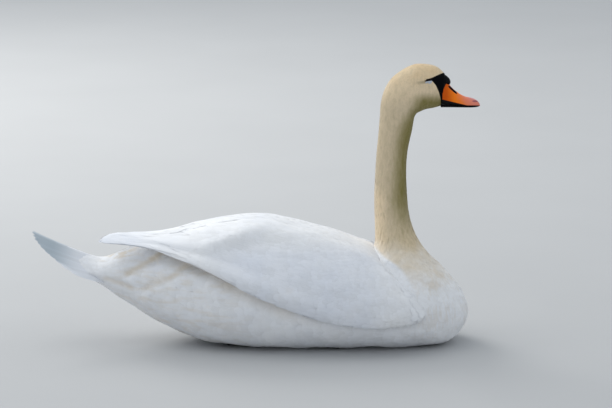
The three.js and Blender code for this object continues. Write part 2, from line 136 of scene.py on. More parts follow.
# The tail's feathers: how many pairs, where the roots lie [x, z] and how far apart, and how the
# fan rises and curls up. Each pair is shorter than the one inside it, swings further out and lies
# a step lower.
TAIL_PAIRS = 10
TAIL_ROOT = (-384, 164)
TAIL_ROOT_STEP = 2.6
TAIL_RISE = math.radians(19)
TAIL_CURL, CURL_LENGTH = 9, 173
TAIL_LENGTH = 172
TAIL_SHORTER = (1.2, 0.8)
TAIL_SPREAD = math.radians(2.3)
TAIL_STEP = 3.5
# The outer feathers swing a little away from the rest, so that their tips part: (pair, angle).
TAIL_PARTING = ((6, 0), (7, 0.01), (8, 0.03), (9, 0.045))

# Round the roots of the tail: upper point [x, z], lower point [x, z], half-width, height of the
# sides, and how far the section has turned from an egg into the gable of the tail.
TAIL_BASE = (
    (-318, 208, -323, 62, 70.5, 132, 0), (-362, 190, -366, 88, 54, 137, 0),
    (-398, 176, -402, 120, 44, 144, 0.1), (-428, 180.5, -432, 161, 43, 149.5, 0.6),
    (-467, 195, -470, 189.5, 58, 164, 1), (-505, 210.3, -508, 207.5, 73, 181, 1),
    (-534, 223, -536, 221, 84, 193, 1),
)

# Creases in the plumage of the flanks, on the side view: two ends (x, z), and the depth, which also
# sets how dark the painted shade in a crease is.
FLANK_FOLDS = (
    ((-264, 206), (-300, 181), 7.5), ((-300, 181), (-352, 150), 6), ((-396, 140), (-340, 124), 4),
    ((-215, 190), (-262, 150), 4), ((-262, 150), (-318, 122), 3),
)
# The lower edge of a folded wing on the side view, from its tip to its middle, as (x, z).
WING_LINE = tuple((lower[0], lower[2]) for _, lower, *_ in WING[:3:-1])
# Swells of the plumage, as (height, distance between two crests, seed).
BODY_SWELLS = ((1.3, 95, 101), (0.7, 45, 102))
WING_SWELLS = ((0.8, 80, 103), (0.4, 38, 104))
# How deep the body is pressed in along the wings' lower edges, and where they lie on the back.
UNDER_WING_GROOVE, WING_SEAT = 4, 9
FOLD_WIDTH = 8


def stack(*parts):
    """Points from their coordinates."""
    return np.stack(np.broadcast_arrays(*parts), axis=-1)


def split(rows):
    """The columns of rows of numbers."""
    return np.moveaxis(rows, -1, 0)


def norm(vectors):
    return np.linalg.norm(vectors, axis=-1)


def unit(vectors):
    return vectors / np.maximum(norm(vectors)[..., None], 1e-12)


def dot(a, b):
    return np.sum(a * b, axis=-1)


def follow(value, line):
    """The result at a value, on a line through (value, result) points."""
    return np.interp(value, *zip(*line))


def full_turn(count):
    return np.linspace(0, TURN, count, endpoint=False)


def signed_power(value, power):
    return np.sign(value) * np.abs(value) ** power


def smoothstep(value, low, high):
    """0 at low and 1 at high, with a smooth rise between; low may be the higher."""
    t = np.clip((value - low) / (high - low), 0, 1)
    return t * t * (3 - 2 * t)


def bell(*offsets):
    """1 where every offset is 0, falling to 0 a few units away."""
    return np.exp(-sum(offset**2 for offset in offsets))


def turned(x, z, angle):
    """A place on the side view, seen from axes turned by an angle."""
    c, s = math.cos(angle), math.sin(angle)
    return x * c + z * s, z * c - x * s


def distance_to_line(x, y, start, end):
    start, along = np.array(start, float), np.subtract(end, start).astype(float)
    x, y = x - start[0], y - start[1]
    share = np.clip((x * along[0] + y * along[1]) / (along @ along), 0, 1)
    return np.hypot(x - share * along[0], y - share * along[1])


def smooth_rows(knots, rows):
    """A smooth curve through rows of numbers, as a function of the knot."""
    knots, rows = np.asarray(knots, float), np.asarray(rows, float)
    gaps = np.diff(knots)[:, None]
    slopes = np.diff(rows, axis=0) / gaps
    between = (slopes[:-1] * gaps[1:] + slopes[1:] * gaps[:-1]) / (gaps[:-1] + gaps[1:])
    tangents = np.vstack([slopes[:1], between, slopes[-1:]])

    def at(knot):
        knot = np.clip(np.asarray(knot, float), knots[0], knots[-1])
        i = np.clip(np.searchsorted(knots, knot, side="right") - 1, 0, len(knots) - 2)
        t = (knot[..., None] - knots[i][..., None]) / gaps[i]
        t2, t3 = t * t, t * t * t
        return (
            (2 * t3 - 3 * t2 + 1) * rows[i]
            + (t3 - 2 * t2 + t) * gaps[i] * tangents[i]
            + (3 * t2 - 2 * t3) * rows[i + 1]
            + (t3 - t2) * gaps[i] * tangents[i + 1]
        )

    return at


def swells(points, waves):
    """Slow swells over the plumage, about as high as the waves' heights together."""
    total = 0
    for height, size, seed in waves:
        rng = np.random.default_rng([SEED, seed])
        swell = 0
        for _ in range(5):
            wave = rng.normal(0, 1, 3)
            wave = wave / np.linalg.norm(wave) * TURN / size * rng.uniform(0.7, 1.5)
            swell = swell + np.sin(points @ wave + rng.uniform(0, TURN))
        total = total + height * (swell / 3)
    return total


def inset(share):
    """A share from 0 to 1, kept off the edges of the unwrap."""
    return CHART_MARGIN + (1 - 2 * CHART_MARGIN) * share


class Surface:
    """A surface over two numbers u and v, in millimetres, with its outward side."""

    facing = 1
    steps = (0.5, 0.01)
    v_range = None

    def slopes(self, u, v):
        """The surface's direction along u, its direction along v, and its outward normal."""
        du, dv = self.steps
        along = (self.point(u + du, v) - self.point(u - du, v)) / (2 * du)
        across = (self.point(u, v + dv) - self.point(u, v - dv)) / (2 * dv)
        return along, across, unit(np.cross(across, along)) * self.facing

    def moved(self, u, v, slopes, step):
        """The u and v that lie a step away, given as a vector along the surface."""
        along, across, _ = slopes
        aa, bb, ab = dot(along, along), dot(across, across), dot(along, across)
        sa, sb = dot(step, along), dot(step, across)
        det = np.maximum(aa * bb - ab * ab, 1e-9)
        u, v = u + (sa * bb - sb * ab) / det, v + (sb * aa - sa * ab) / det
        if self.v_range:
            v = np.clip(v, *self.v_range)
        return np.clip(u, *self.u_range), v

    def relief(self, u, v, points):
        """How far the plumage stands over the surface, or under it, at its points."""
        return 0.0


class Body(Surface):
    """The body's tube: u runs from the face to the tail, v round from the back by the left."""

    def __init__(self):
        rows = [(*back, *belly, *rest) for back, belly, *rest in BODY.values()]
        ends = np.array([row[:4] for row in rows], float).reshape(-1, 2, 2)
        moves = norm(np.diff(ends, axis=0)).mean(axis=1)
        self.knots = np.concatenate([[0], np.cumsum(moves)])
        self.row = smooth_rows(self.knots, rows)
        self.u_range = (0, self.knots[-1])

    def knot(self, station):
        return self.knots[list(BODY).index(station)]

    def point(self, u, v):
        back_x, back_z, belly_x, belly_z, half, low, square = split(self.row(u))
        up = signed_power(np.cos(v), 2 / square)
        out = signed_power(np.sin(v), 2 / square) * half
        return stack(
            (back_x + belly_x) / 2 + (back_x - belly_x) / 2 * up,
            out * (1 - low * np.cos(v)),
            (back_z + belly_z) / 2 + (back_z - belly_z) / 2 * up,
        )

    def relief(self, u, v, points):
        """Soft folds in the coat of the breast, flanks and rump, always inwards."""
        x, _, z = split(points)
        height = smoothstep(z, 260, 180) * (swells(points, BODY_SWELLS) - 1.4)
        for start, end, deep in FLANK_FOLDS:
            height = height - deep * bell(distance_to_line(x, z, start, end) / FOLD_WIDTH)
        below_wing = z - follow(x, WING_LINE) + 7
        under = smoothstep(x, 50, -60) * smoothstep(x, -310, -230)
        height = height - UNDER_WING_GROOVE * under * bell(below_wing / 15)
        covered = smoothstep(z, 150, 190) * smoothstep(x, 90, 30) * smoothstep(x, -250, -190)
        return height - WING_SEAT * covered


class Wing(Surface):
    """A wing's outer face: u is the station and v the share from its upper to its lower edge."""

    steps = (0.02, 0.01)
    u_range = (0, WING_TIP)
    v_range = (0, 1)

    def __init__(self, name):
        self.side = self.facing = SIDES[name]
        self.swell = CREST_SWELL[name]
        self.row = smooth_rows(range(len(WING)), [(*u, *l, *rest) for u, l, *rest in WING])

    def point(self, u, v, depth_share=0):
        """A point on the outer face, or below it by a share of the thickness."""
        row = self.row(u)
        upper, lower, bulge, thick = row[..., :3], row[..., 3:6], row[..., 6], row[..., 7]
        out = unit(np.cross(np.array([1.0, 0, 0]), unit(lower - upper)))
        full = np.clip(4 * v * (1 - v), 0, 1) ** follow(u, WING_FULLNESS)
        depth = thick * (WING_EDGE + (1 - WING_EDGE) * np.sqrt(full))
        lift = bulge * full - depth * depth_share
        point = upper + (lower - upper) * np.asarray(v)[..., None] + out * lift[..., None]
        if self.side == SIDES["left"]:
            point = point - (LEFT_TIP_DROP * smoothstep(u, DROP_FROM, DROP_TO))[..., None] * UP
        return point * np.array([1, self.side, 1])

    def relief(self, u, v, points):
        """A hollow in the middle of the folded wing, with a rolled edge below it."""
        height = swells(points, WING_SWELLS) - 0.8
        height = height - SHOULDER_DIP["depth"] * smoothstep(u, SHOULDER_DIP["reach"], 0)
        crest = follow(u, HOLLOW_CREST)
        hollow = smoothstep(v, crest - 0.03, crest + 0.17) * smoothstep(v, 0.93, 0.76)
        hollow = hollow * bell((u - HOLLOW["station"]) / HOLLOW["reach"])
        height = height - HOLLOW["depth"] * hollow
        rear = smoothstep(u, *REAR_RISE) * smoothstep(u, *REAR_FALL)
        for high, share, wide in REAR_RIDGES:
            height = height + rear * high * bell((v - share) / wide)
        height = height + self.swell * bell((v - crest + 0.02) / 0.13, (u - 7.5) / 1.8)
        groove, dip = TRACT_GROOVE, WIDEST_DIP
        past = u - groove["station"]
        aside = (v - groove["share"] - groove["slant"] * past) / groove["width"]
        height = height - groove["depth"] * bell(aside, past / groove["length"])
        return height - dip["depth"] * smoothstep(np.abs(points[..., 1]), dip["start"], dip["full"])

    def chart(self, u, v):
        return inset(v), inset(u / WING_TIP)


class Mantle(Surface):
    """The feathered back between the wings: u is the wings' station, v runs from right to left."""

    steps = (0.02, 0.02)
    u_range = (0, 11)
    v_range = (-1, 1)
    edge_share = 0.06
    arch = ((0, 9), (2, 6), (5, 2.5), (7, 1.5), (8, 0), (9, -3.5), (11, -11))

    def point(self, u, v):
        share = np.full(np.shape(u), self.edge_share)
        right, left = (wings[name].point(u, share) for name in ("right", "left"))
        arch = follow(u, self.arch)
        arch = arch * np.where(arch > 0, 1 - v**2, (1 - v**2) ** 2)
        return right + (left - right) * ((v + 1) / 2)[..., None] + arch[..., None] * UP

    def relief(self, u, v, points):
        return -np.interp(u, (6.5, 8), (1.5, 0.8)) * v**2

    def chart(self, u, v):
        return 0.5 + 0.46 * v, inset(u / self.u_range[1])


class TailFan(Surface):
    """The folded tail: u is the distance from the roots, v counts feathers from the middle."""

    u_range = (-20, 200)
    steps = (0.5, 0.05)

    def point(self, u, v):
        angle = TAIL_SPREAD * v
        fall = TAIL_STEP * np.maximum(0, np.abs(v) - 0.5)
        curl = TAIL_CURL * (np.clip(u, 0, None) / CURL_LENGTH) ** 3
        return stack(
            TAIL_ROOT[0] - u * math.cos(TAIL_RISE) * np.cos(angle),
            TAIL_ROOT_STEP * v + u * np.sin(angle),
            TAIL_ROOT[1] - fall + u * math.sin(TAIL_RISE) + curl,
        )

    def chart(self, u, v):
        return 0.5 + 0.46 * v / TAIL_PAIRS, 0.1 + 0.004 * u


class TailBase(Surface):
    """The plumage that closes round the roots of the tail: u is a row of TAIL_BASE."""

    steps = (0.02, 0.01)
    u_range = (0, len(TAIL_BASE) - 1)

    def __init__(self):
        self.row = smooth_rows(range(len(TAIL_BASE)), TAIL_BASE)

    def point(self, u, v):
        top_x, top_z, low_x, low_z, half, side_z, roof = split(self.row(u))
        up, out = np.cos(v), np.sin(v)
        middle = (top_z + low_z) / 2
        egg = middle + (top_z - low_z) / 2 * up + (side_z - middle) * out**2
        ridge = np.where(up > 0, top_z, low_z)
        gable = ridge + (side_z - ridge) * np.abs(out)
        x = (top_x + low_x) / 2 + (top_x - low_x) / 2 * up
        return stack(x, half * out, egg + (gable - egg) * roof)

    def relief(self, u, v, points):
        """The folds of the rump's own coat, as far as the roots of the tail."""
        return body.relief(u, v, points) * smoothstep(u, 2.4, 1.2)

    def chart(self, u, v):
        return inset(v / TURN % 1), 0.1 + 0.2 * u


body = Body()
wings = {name: Wing(name) for name in SIDES}

# ------------------------------------------------------------------ places on the body
EYE = (260.5, 21.5, 540.5)
EYE_RADIUS = 8.2
EYE_OPENING = dict(middle=(-0.8, 4.3), half=(7.4, 1.7), tilt=0.16)
LOWER_LID = dict(middle=(-2.0, 0.4), half=(7.0, 3.9))
# How far outside the eye's opening a ring of the lids lies, how far over the eyeball, and how
# far under the head.
EYELID_RINGS = (
    (-0.7, -0.6, 3), (0, 0.2, 2), (0.5, 0.6, 1.4), (1.2, 0.6, 1.3), (2.2, 0.4, 1.4),
    (3.4, 0.3, 1.6), (4.8, 0.2, 1.9), (6.6, 0.0, 2.6),
)
EYE_SKIN = dict(middle=(-1.2, 2.6), half=(8.2, 4.6))
# How much lower a side view from a little above shows a point, per millimetre off the mid-plane.
SIGHT_SLANT = 0.2126
LEG_HEEL, LEG_ANKLE = (-150, 46, 9), (-52, 42, 7.5)
LEG_RADII = (7.7, 5.9)
FOOT_ANKLE = np.array((-46, 42), float)
# The tips of the toes [x, distance from the mid-plane] and their radii, the claws, and the web.
TOES = tuple((np.array(tip), r) for tip, r in (((80, 22), 3.0), ((96, 45), 3.4), ((78, 69), 3.0)))
CLAW_LENGTH, CLAW_ROOT = 7.5, 5.5
WEB_HEIGHT, WEB_THICKNESS, WEB_FOLDS = 2.0, 1.4, 2.5
FLOOR_GAP, SKIN_FLOOR_GAP = 0.6, 1.4
# The hollows in the belly over a leg and a foot: their height, and how far away they start and
# how far away they are full.
LEG_HOLLOW, FOOT_HOLLOW = (20, 15, 8), (10, 12, 4)

# The edges of the bare black skin in front of the eye, drawn on a side view of the head from a
# little above: the rear edge as (height, x) and the upper edge as (x, height).
LORE_REAR = ((487, 284.5), (501, 283.3), (515, 279.2), (528, 273.2), (536, 266.5), (541, 258))
LORE_TOP = ((243, 536.5), (253, 539.5), (265, 543.5), (276, 549), (288, 554.5), (292, 556))
# The heights above which there is a bill, and above which there is an eye.
BILL_FROM, EYE_FROM = 470, 500


def off_toe(x, y, tip):
    """Over 0 on the inner side of a toe, and under 0 on its outer side."""
    ahead, aside = tip - FOOT_ANKLE
    return (x - FOOT_ANKLE[0]) * aside - (y - FOOT_ANKLE[1]) * ahead


def foot_distance(x, y):
    """How far a place under the belly is from a foot's web, on either side."""
    y = np.abs(y)
    tips = [tip for tip, _ in TOES]
    near = np.min([distance_to_line(x, y, FOOT_ANKLE, tip) for tip in tips], axis=0)
    between = (off_toe(x, y, tips[-1]) > 0) & (off_toe(x, y, tips[0]) < 0)
    return np.where(between & (x > FOOT_ANKLE[0]) & (x < tips[-1][0]), 0, near)


def leg_distance(x, y):
    return distance_to_line(x, np.abs(y), LEG_HEEL[:2], LEG_ANKLE[:2])


def off_the_floor(points):
    """Keeps points above the floor, and above the legs and feet tucked under the belly."""
    x, y, z = split(points)
    leg = LEG_HOLLOW[0] * smoothstep(leg_distance(x, y), *LEG_HOLLOW[1:])
    foot = FOOT_HOLLOW[0] * smoothstep(foot_distance(x, y), *FOOT_HOLLOW[1:])
    points[..., 2] = np.maximum(z, FLOOR_GAP + np.maximum(leg, foot))


def lore_share(points, fade=2.0, inset_by=0.0):
    """1 on the bare black skin in front of the eye, and 0 off it."""
    x, y, z = split(points)
    x, height = x - inset_by, z - SIGHT_SLANT * np.abs(y) + inset_by
    behind, top = follow(height, LORE_REAR), follow(x, LORE_TOP)
    inside = smoothstep(x, behind - fade, behind) * smoothstep(height, top + fade, top)
    return np.where(z > BILL_FROM, inside, 0)


def bare(points):
    """Where the head has no feathers: the lore, and the skin round the eye."""
    x, z = points[..., 0] - EYE[0], points[..., 2] - EYE[2]
    (middle_x, middle_z), (long, high) = EYE_SKIN.values()
    z = (z - middle_z - EYE_OPENING["tilt"] * x) / high
    eye = ((x - middle_x) / long) ** 2 + z**2 < 1
    return (lore_share(points, 0.4, 1.1) > 0.5) | (eye & (points[..., 2] > EYE_FROM))


# ------------------------------------------------------------------ meshes
def make_mesh(name, points, faces, uv=None, vane=None, tint=None, rims=None):
    """An object from points in millimetres and blocks of faces with equal numbers of corners."""
    loops = np.concatenate([block.ravel() for block in faces]).astype(np.int32)
    sizes = np.concatenate([np.full(len(block), block.shape[1]) for block in faces])
    mesh = bpy.data.meshes.new(name)
    mesh.vertices.add(len(points))
    mesh.vertices.foreach_set("co", (points * MM).astype(np.float32).ravel())
    mesh.loops.add(len(loops))
    mesh.loops.foreach_set("vertex_index", loops)
    mesh.polygons.add(len(sizes))
    mesh.polygons.foreach_set("loop_start", (np.cumsum(sizes) - sizes).astype(np.int32))
    mesh.polygons.foreach_set("use_smooth", np.ones(len(sizes), bool))
    for layer, values in (("OFBake", uv), ("Vane", vane)):
        if values is not None:
            per_loop = values.astype(np.float32)[loops]
            mesh.uv_layers.new(name=layer).data.foreach_set("uv", per_loop.ravel())
    if tint is not None:
        tints = mesh.attributes.new("tint", "FLOAT", "POINT").data
        tints.foreach_set("value", tint.astype(np.float32))
    mesh.update(calc_edges=True)
    if rims is not None:
        ends = np.empty(2 * len(mesh.edges), np.int32)
        mesh.edges.foreach_get("vertices", ends)
        sharp = rims[ends.reshape(-1, 2)].all(axis=1)
        mesh.attributes.new("sharp_edge", "BOOLEAN", "EDGE").data.foreach_set("value", sharp)
    piece = bpy.data.objects.new(name, mesh)
    bpy.context.scene.collection.objects.link(piece)
    return piece


def grid_faces(rows, columns):
    """Quads over rows of points, each row closed into a ring."""
    r, c = np.meshgrid(np.arange(rows - 1), np.arange(columns), indexing="ij")
    a, b = r * columns + c, r * columns + (c + 1) % columns
    return stack(a, b, b + columns, a + columns).reshape(-1, 4)


def tube(rings):
    """Points and faces of a closed tube over rings of points, capped, with its faces outwards."""
    count, around = rings.shape[:2]
    points, cap = rings.reshape(-1, 3), np.arange(around)[None]
    faces = [grid_faces(count, around), cap[:, ::-1], cap + (count - 1) * around]
    volume = 0
    for block in faces:
        corners = points[block].swapaxes(0, 1)
        for one, other in zip(corners[1:], corners[2:]):
            volume += dot(corners[0], np.cross(one, other)).sum()
    return points, faces if volume > 0 else [block[:, ::-1] for block in faces]


def joined(parts):
    """The points and faces of several bodies as one."""
    faces, count = [], 0
    for points, blocks in parts:
        faces += [block + count for block in blocks]
        count += len(points)
    return np.concatenate([points for points, _ in parts]), faces


def make_solid(name, *bodies):
    """A piece from one or more bodies, each given as rings of points."""
    return make_mesh(name, *joined([tube(rings) for rings in bodies]))


# ------------------------------------------------------------------ feathers
# The shape of a feather: the number of points across it, and its rows from root to tip as
# (share of length, share of half-width).
CONTOUR = (5, ((0, 0.45), (0.35, 0.9), (0.66, 1), (0.85, 0.86), (0.96, 0.52), (1, 0.14)))
TERTIAL = (7, ((0, 0.35), (0.15, 0.85), (0.35, 1), (0.55, 0.9), (0.75, 0.68), (0.91, 0.42),
               (1, 0.12)))
TUFT = (3, ((0, 0.5), (0.4, 1), (0.78, 0.75), (1, 0.08)))
FLIGHT = (5, ((0, 0.35), (0.15, 0.8), (0.4, 1), (0.65, 1), (0.84, 0.86), (0.95, 0.55), (1, 0.16)))
# How soon a feather lies flat behind its root, and the size of its patch on the unwrap.
SETTLE = 2.2
PATCH = 0.003


class Coat:
    """Collects feathers that lie on a surface, and makes one mesh of them."""

    def __init__(self, name, number, surface, chart=None):
        self.name, self.surface, self.chart = name, surface, chart or surface.chart
        self.rng = np.random.default_rng([SEED, number])
        self.parts, self.faces, self.count = [], [], 0

    def vary(self, middle, spread, roots):
        """A random number for each root, about a middle value."""
        return self.rng.normal(middle, spread, len(roots))

    def lay(self, u, v, length, width, depth, shape=CONTOUR, lift=-0.1, turn=0.0, roll=0.0,
            camber=0.25, thick=0.25, loose=0.05):
        """Lays feathers with their roots at u and v, pointing along the surface's u.

        depth is how far a root lies under the surface and lift how far a tip stands over it.
        turn, in radians, swings a feather sideways, and roll raises its right edge. camber
        lowers both edges, thick is the shaft's thickness, and loose is how much heights vary.
        """
        across, rows = shape
        length, width, depth, lift, turn, roll = (
            np.broadcast_to(value, len(u)).astype(float)
            for value in (length, width, depth, lift, turn, roll)
        )
        sides = np.linspace(-1, 1, across)
        heights = self.vary(0, loose, u)
        ring = 2 * across - 2
        points = np.empty((len(u), len(rows), ring, 3))
        at_u, at_v, before = u, v, 0.0
        for row, (share, wide) in enumerate(rows):
            slopes = self.surface.slopes(at_u, at_v)
            ahead = unit(slopes[0])
            aside = np.cross(slopes[2], ahead)
            lie = ahead * np.cos(turn)[:, None] + aside * np.sin(turn)[:, None]
            sideways = np.cross(slopes[2], lie)
            step = lie * ((share - before) * length)[:, None]
            at_u, at_v = self.surface.moved(at_u, at_v, slopes, step)
            before = share
            slopes = self.surface.slopes(at_u, at_v)
            height = lift - (depth + lift) * (1 - share) ** SETTLE + heights * share
            for j, side in enumerate(sides):
                offset = sideways * (side * wide * width / 2)[:, None]
                edge_u, edge_v = self.surface.moved(at_u, at_v, slopes, offset)
                at = self.surface.point(edge_u, edge_v)
                rise = height - camber * wide * side**2 + roll * side * wide
                rise = rise + self.surface.relief(edge_u, edge_v, at)
                points[:, row, j] = at + slopes[2] * rise[:, None]
                if 0 < j < across - 1:
                    under = thick * (1 - side**2) * max(wide, 0.3)
                    points[:, row, ring - j] = points[:, row, j] - slopes[2] * under
        off_the_floor(points)
        shares, widths = np.array(rows).T[..., None]
        patch = stack(np.concatenate([sides, sides[-2:0:-1]]) * widths / 2, shares - 0.5)
        uv = stack(*self.chart(u, v))[:, None, None] + patch * PATCH
        vane = np.broadcast_to(patch + 0.5, uv.shape)
        rim = np.zeros((len(rows), ring), bool)
        rim[:, [0, across - 1]] = rim[[0, -1]] = True
        cap = np.arange(ring)
        first = self.count + np.arange(len(u))[:, None, None] * rim.size
        for block in (grid_faces(len(rows), ring), np.array([cap[::-1], rim.size - ring + cap])):
            self.faces.append((block[:, ::-1] + first).reshape(-1, block.shape[1]))
        tint = np.repeat(self.rng.random(len(u)), rim.size)
        rims = np.tile(rim.ravel(), len(u))
        self.parts.append(
            (points.reshape(-1, 3), uv.reshape(-1, 2), vane.reshape(-1, 2), tint, rims)
        )
        self.count += len(u) * rim.size

    def piece(self):
        points, *layers = (np.concatenate(part) for part in zip(*self.parts))
        return make_mesh(self.name, points, self.faces, *layers)


# Plumage along the body: at a station, a feather's length and width, the distance between two
# rows and between two neighbours, the depth of the coat, and how loosely the feathers lie.
PLUMAGE = {
    "face": (4.2, 1.7, 1.4, 1.1, 0.5, 0.02),
    "forehead": (5.4, 1.9, 1.7, 1.3, 0.7, 0.03),
    "crown": (7, 2.2, 2.1, 1.5, 1.0, 0.04),
    "ear": (8.6, 2.5, 2.5, 1.7, 1.2, 0.05),
    "throat": (10, 2.9, 3.0, 2.0, 1.6, 0.08),
    "neck_top": (11, 3.2, 3.4, 2.2, 1.8, 0.1),
    "neck_c": (13, 3.6, 3.9, 2.5, 2.1, 0.13),
    "neck_e": (14.5, 4.2, 4.4, 2.9, 2.4, 0.15),
    "neck_root": (18, 6.6, 5.2, 3.9, 2.0, 0.12),
    "upper_breast": (25, 12, 7, 6.2, 2.2, 0.1),
    "breast_front": (31, 18, 9, 9.4, 2.8, 0.1),
    "keel": (38, 22, 12, 12.5, 3.4, 0.1),
    "mid_trunk": (42, 26, 13, 14.5, 3.8, 0.1),
    "hips": (42, 25, 13, 14, 3.8, 0.1),
    "rump": (40, 21, 11.5, 11.5, 3.6, 0.1),
    "tail_root": (42, 16, 10, 8, 3.0, 0.1),
    "under_tail_tip": (36, 12, 8, 6, 2.6, 0.15),
}
PLUMAGE_KNOTS = [body.knot(station) for station in PLUMAGE]
# How far roots are scattered about their even rows, as a share of the gaps between them.
BODY_SCATTER, WING_SCATTER = 0.16, 0.12
# How close to a leg or a foot under the belly feathers may grow.
LEG_ROOM, FOOT_ROOM = 9, 4


def plumage(u):
    return [np.interp(u, PLUMAGE_KNOTS, column) for column in zip(*PLUMAGE.values())]


def staggered(count, row, start=0.25):
    """Even shares, shifted by half a step in every other row."""
    return (np.arange(count) + start + 0.5 * (row % 2)) / count


def ringed_roots(coat, low, high, gaps):
    """Roots in staggered rings round a surface, thinned where the rings crowd."""
    all_u, all_v = [], []
    ring = np.linspace(0, TURN, 181)
    u, row = low, 0
    while u < high:
        gap_rows, gap = gaps(u)
        along, across, _ = coat.surface.slopes(np.full(ring.shape, u), ring)
        speed, arc = norm(along), np.cumsum(norm(across)[1:] * np.diff(ring))
        arc = np.concatenate([[0], arc])
        count = max(8, int(arc[-1] / gap))
        wanted = staggered(count, row, 0) * arc[-1]
        wanted = wanted + coat.rng.normal(0, BODY_SCATTER * gap, count)
        v = np.interp(wanted, arc, ring)
        kept = coat.rng.random(count) < 1.7 * np.interp(v, ring, speed) / speed.max()
        step = gap_rows / speed.max()
        all_u.append(u + coat.rng.normal(0, BODY_SCATTER * step, count)[kept])
        all_v.append(v[kept])
        u, row = u + step, row + 1
    return np.clip(np.concatenate(all_u), low, high), np.concatenate(all_v)


def body_plumage(name, number, first, last, shape):
    """One piece of the coat, between two stations of the body."""
    low, high = body.knot(first), body.knot(last)
    coat = Coat(
        name, number, body,
        lambda u, v: (inset(v / TURN % 1), inset(np.clip((u - low) / (high - low), 0, 1))),
    )
    u, v = ringed_roots(coat, low, high, lambda u: plumage(u)[2:4])
    at = body.point(u, v)
    x, y, z = split(at)
    tucked = (leg_distance(x, y) < LEG_ROOM) | (foot_distance(x, y) < FOOT_ROOM)
    kept = ~bare(at) & ~(tucked & (z < 25)) & (z > -20)
    u, v = u[kept], v[kept]
    length, width, _, _, depth, loose = plumage(u)
    size = coat.vary(1, 0.08, u)
    coat.lay(
        u, v, length * size, width * size, depth, shape, lift=-0.2,
        turn=coat.vary(0, 0.09, u), roll=coat.vary(0, 0.6, u) * loose,
        camber=0.012 * width.mean() + 0.06, thick=0.01 * width.mean() + 0.1, loose=loose.mean(),
    )
    return coat.piece()


# The feathers of a wing, tract by tract: the stations and the shares between which the roots
# lie, the distance between two rows and between two neighbours, length, width, depth of the
# roots, lift of the tips, and the swing towards the lower edge in degrees.
WING_TRACTS = {
    "marginal_coverts": ((0.1, 4.6), (0, 1), 8, 9, 26, 14, 2.2, 0, 0),
    "median_coverts": ((3.8, 6.6), (0, 1), 13, 12, 44, 19, 2.4, -0.1, -2),
    "greater_coverts": ((5.6, 8.2), (0.06, 0.97), 21, 14, 72, 23, 2.6, -0.2, -2),
    "scapulars": ((2.6, 8.4), (0, 0.34), 18, 13, 66, 22, 2.2, -0.1, 1),
}
# Tertials over the back and primaries fanned over the tip, as (station, share, length).
TERTIALS = (
    (8.0, 0.16, 232), (7.7, 0.27, 236), (7.4, 0.38, 232), (7.1, 0.52, 226), (6.8, 0.66, 216),
    (6.5, 0.78, 204), (6.2, 0.87, 190),
)
PRIMARIES = (
    (9.6, 0.12, 186), (9.5, 0.3, 182), (9.4, 0.48, 176), (9.3, 0.66, 170), (9.2, 0.84, 160),
    (10.6, 0.22, 150), (10.5, 0.5, 146), (10.4, 0.78, 138),
)
# Ranks of secondaries along the lower edge, as (share, depth), each a little further out. The
# first rank starts at a station and each later one a shift behind it; the length is in mm.
SECONDARY_RANKS = ((0.86, 0.9), (0.93, 1.6), (0.985, 2.6))
SECONDARIES = dict(first=2.4, shift=0.2, last=11, gap=0.5, length=108)


def wing_roots(coat, stations, shares, rows, gap):
    """Roots in staggered rows across a wing."""
    (u, end), (low, high), row = stations, shares, 0
    all_u, all_v = [], []
    probe = np.linspace(low, high, 40)
    while u < end:
        along, across, _ = coat.surface.slopes(np.full(probe.shape, u), probe)
        speed, chord = norm(along).mean(), norm(across).mean() * (high - low)
        count = max(3, int(chord / gap))
        v = low + (high - low) * staggered(count, row)
        all_u.append(u + coat.rng.normal(0, WING_SCATTER * rows, count) / speed)
        all_v.append(np.clip(v + coat.rng.normal(0, WING_SCATTER / count, count), low, high))
        u, row = u + rows / speed, row + 1
    return np.clip(np.concatenate(all_u), 0, WING_TIP - 0.2), np.concatenate(all_v)


def wing_coverts(name, number, wing):
    coat = Coat(name, number, wing)
    for stations, shares, rows, gap, length, width, depth, lift, swing in WING_TRACTS.values():
        u, v = wing_roots(coat, stations, shares, rows, gap)
        size = coat.vary(1, 0.06, u)
        coat.lay(
            u, v, length * size, width * size, depth, lift=lift,
            turn=wing.side * (math.radians(swing) + coat.vary(0, 0.04, u)),
            roll=coat.vary(0, 0.05, u),
        )
    return coat.piece()


def flight_feathers(name, number, wing):
    coat = Coat(name, number, wing)
    tilt = -0.2 * wing.side
    coat.lay(
        *np.array(TERTIALS).T, width=34, depth=2.6, shape=TERTIAL, roll=tilt, camber=0.4,
        thick=0.35, loose=0.03,
    )
    for rank, (share, sunk) in enumerate(SECONDARY_RANKS):
        start = SECONDARIES["first"] + SECONDARIES["shift"] * rank
        u = np.arange(start, SECONDARIES["last"], SECONDARIES["gap"])
        u = u + coat.vary(0, 0.05, u)
        length = SECONDARIES["length"] * coat.vary(1, 0.05, u)
        coat.lay(
            u, np.full(len(u), share), length, width=22, depth=2.2 + sunk, shape=FLIGHT,
            lift=-sunk, roll=tilt, camber=0.4, thick=0.35, loose=0.06,
        )
    coat.lay(
        *np.array(PRIMARIES).T, width=24, depth=1.6, shape=FLIGHT, roll=-0.15 * wing.side,
        camber=0.3, thick=0.35, loose=0.03,
    )
    return coat.piece()


# The rows of the mantle: the first station, the last and the step between two. MANTLE_GAP is the
# distance between neighbours. The feathers' sizes are given at two stations.
MANTLE_ROWS, MANTLE_GAP = (0.46, 9.4, 0.22), 9
MANTLE_FEATHERS = dict(stations=(1, 6), length=(34, 48), width=(15, 20))


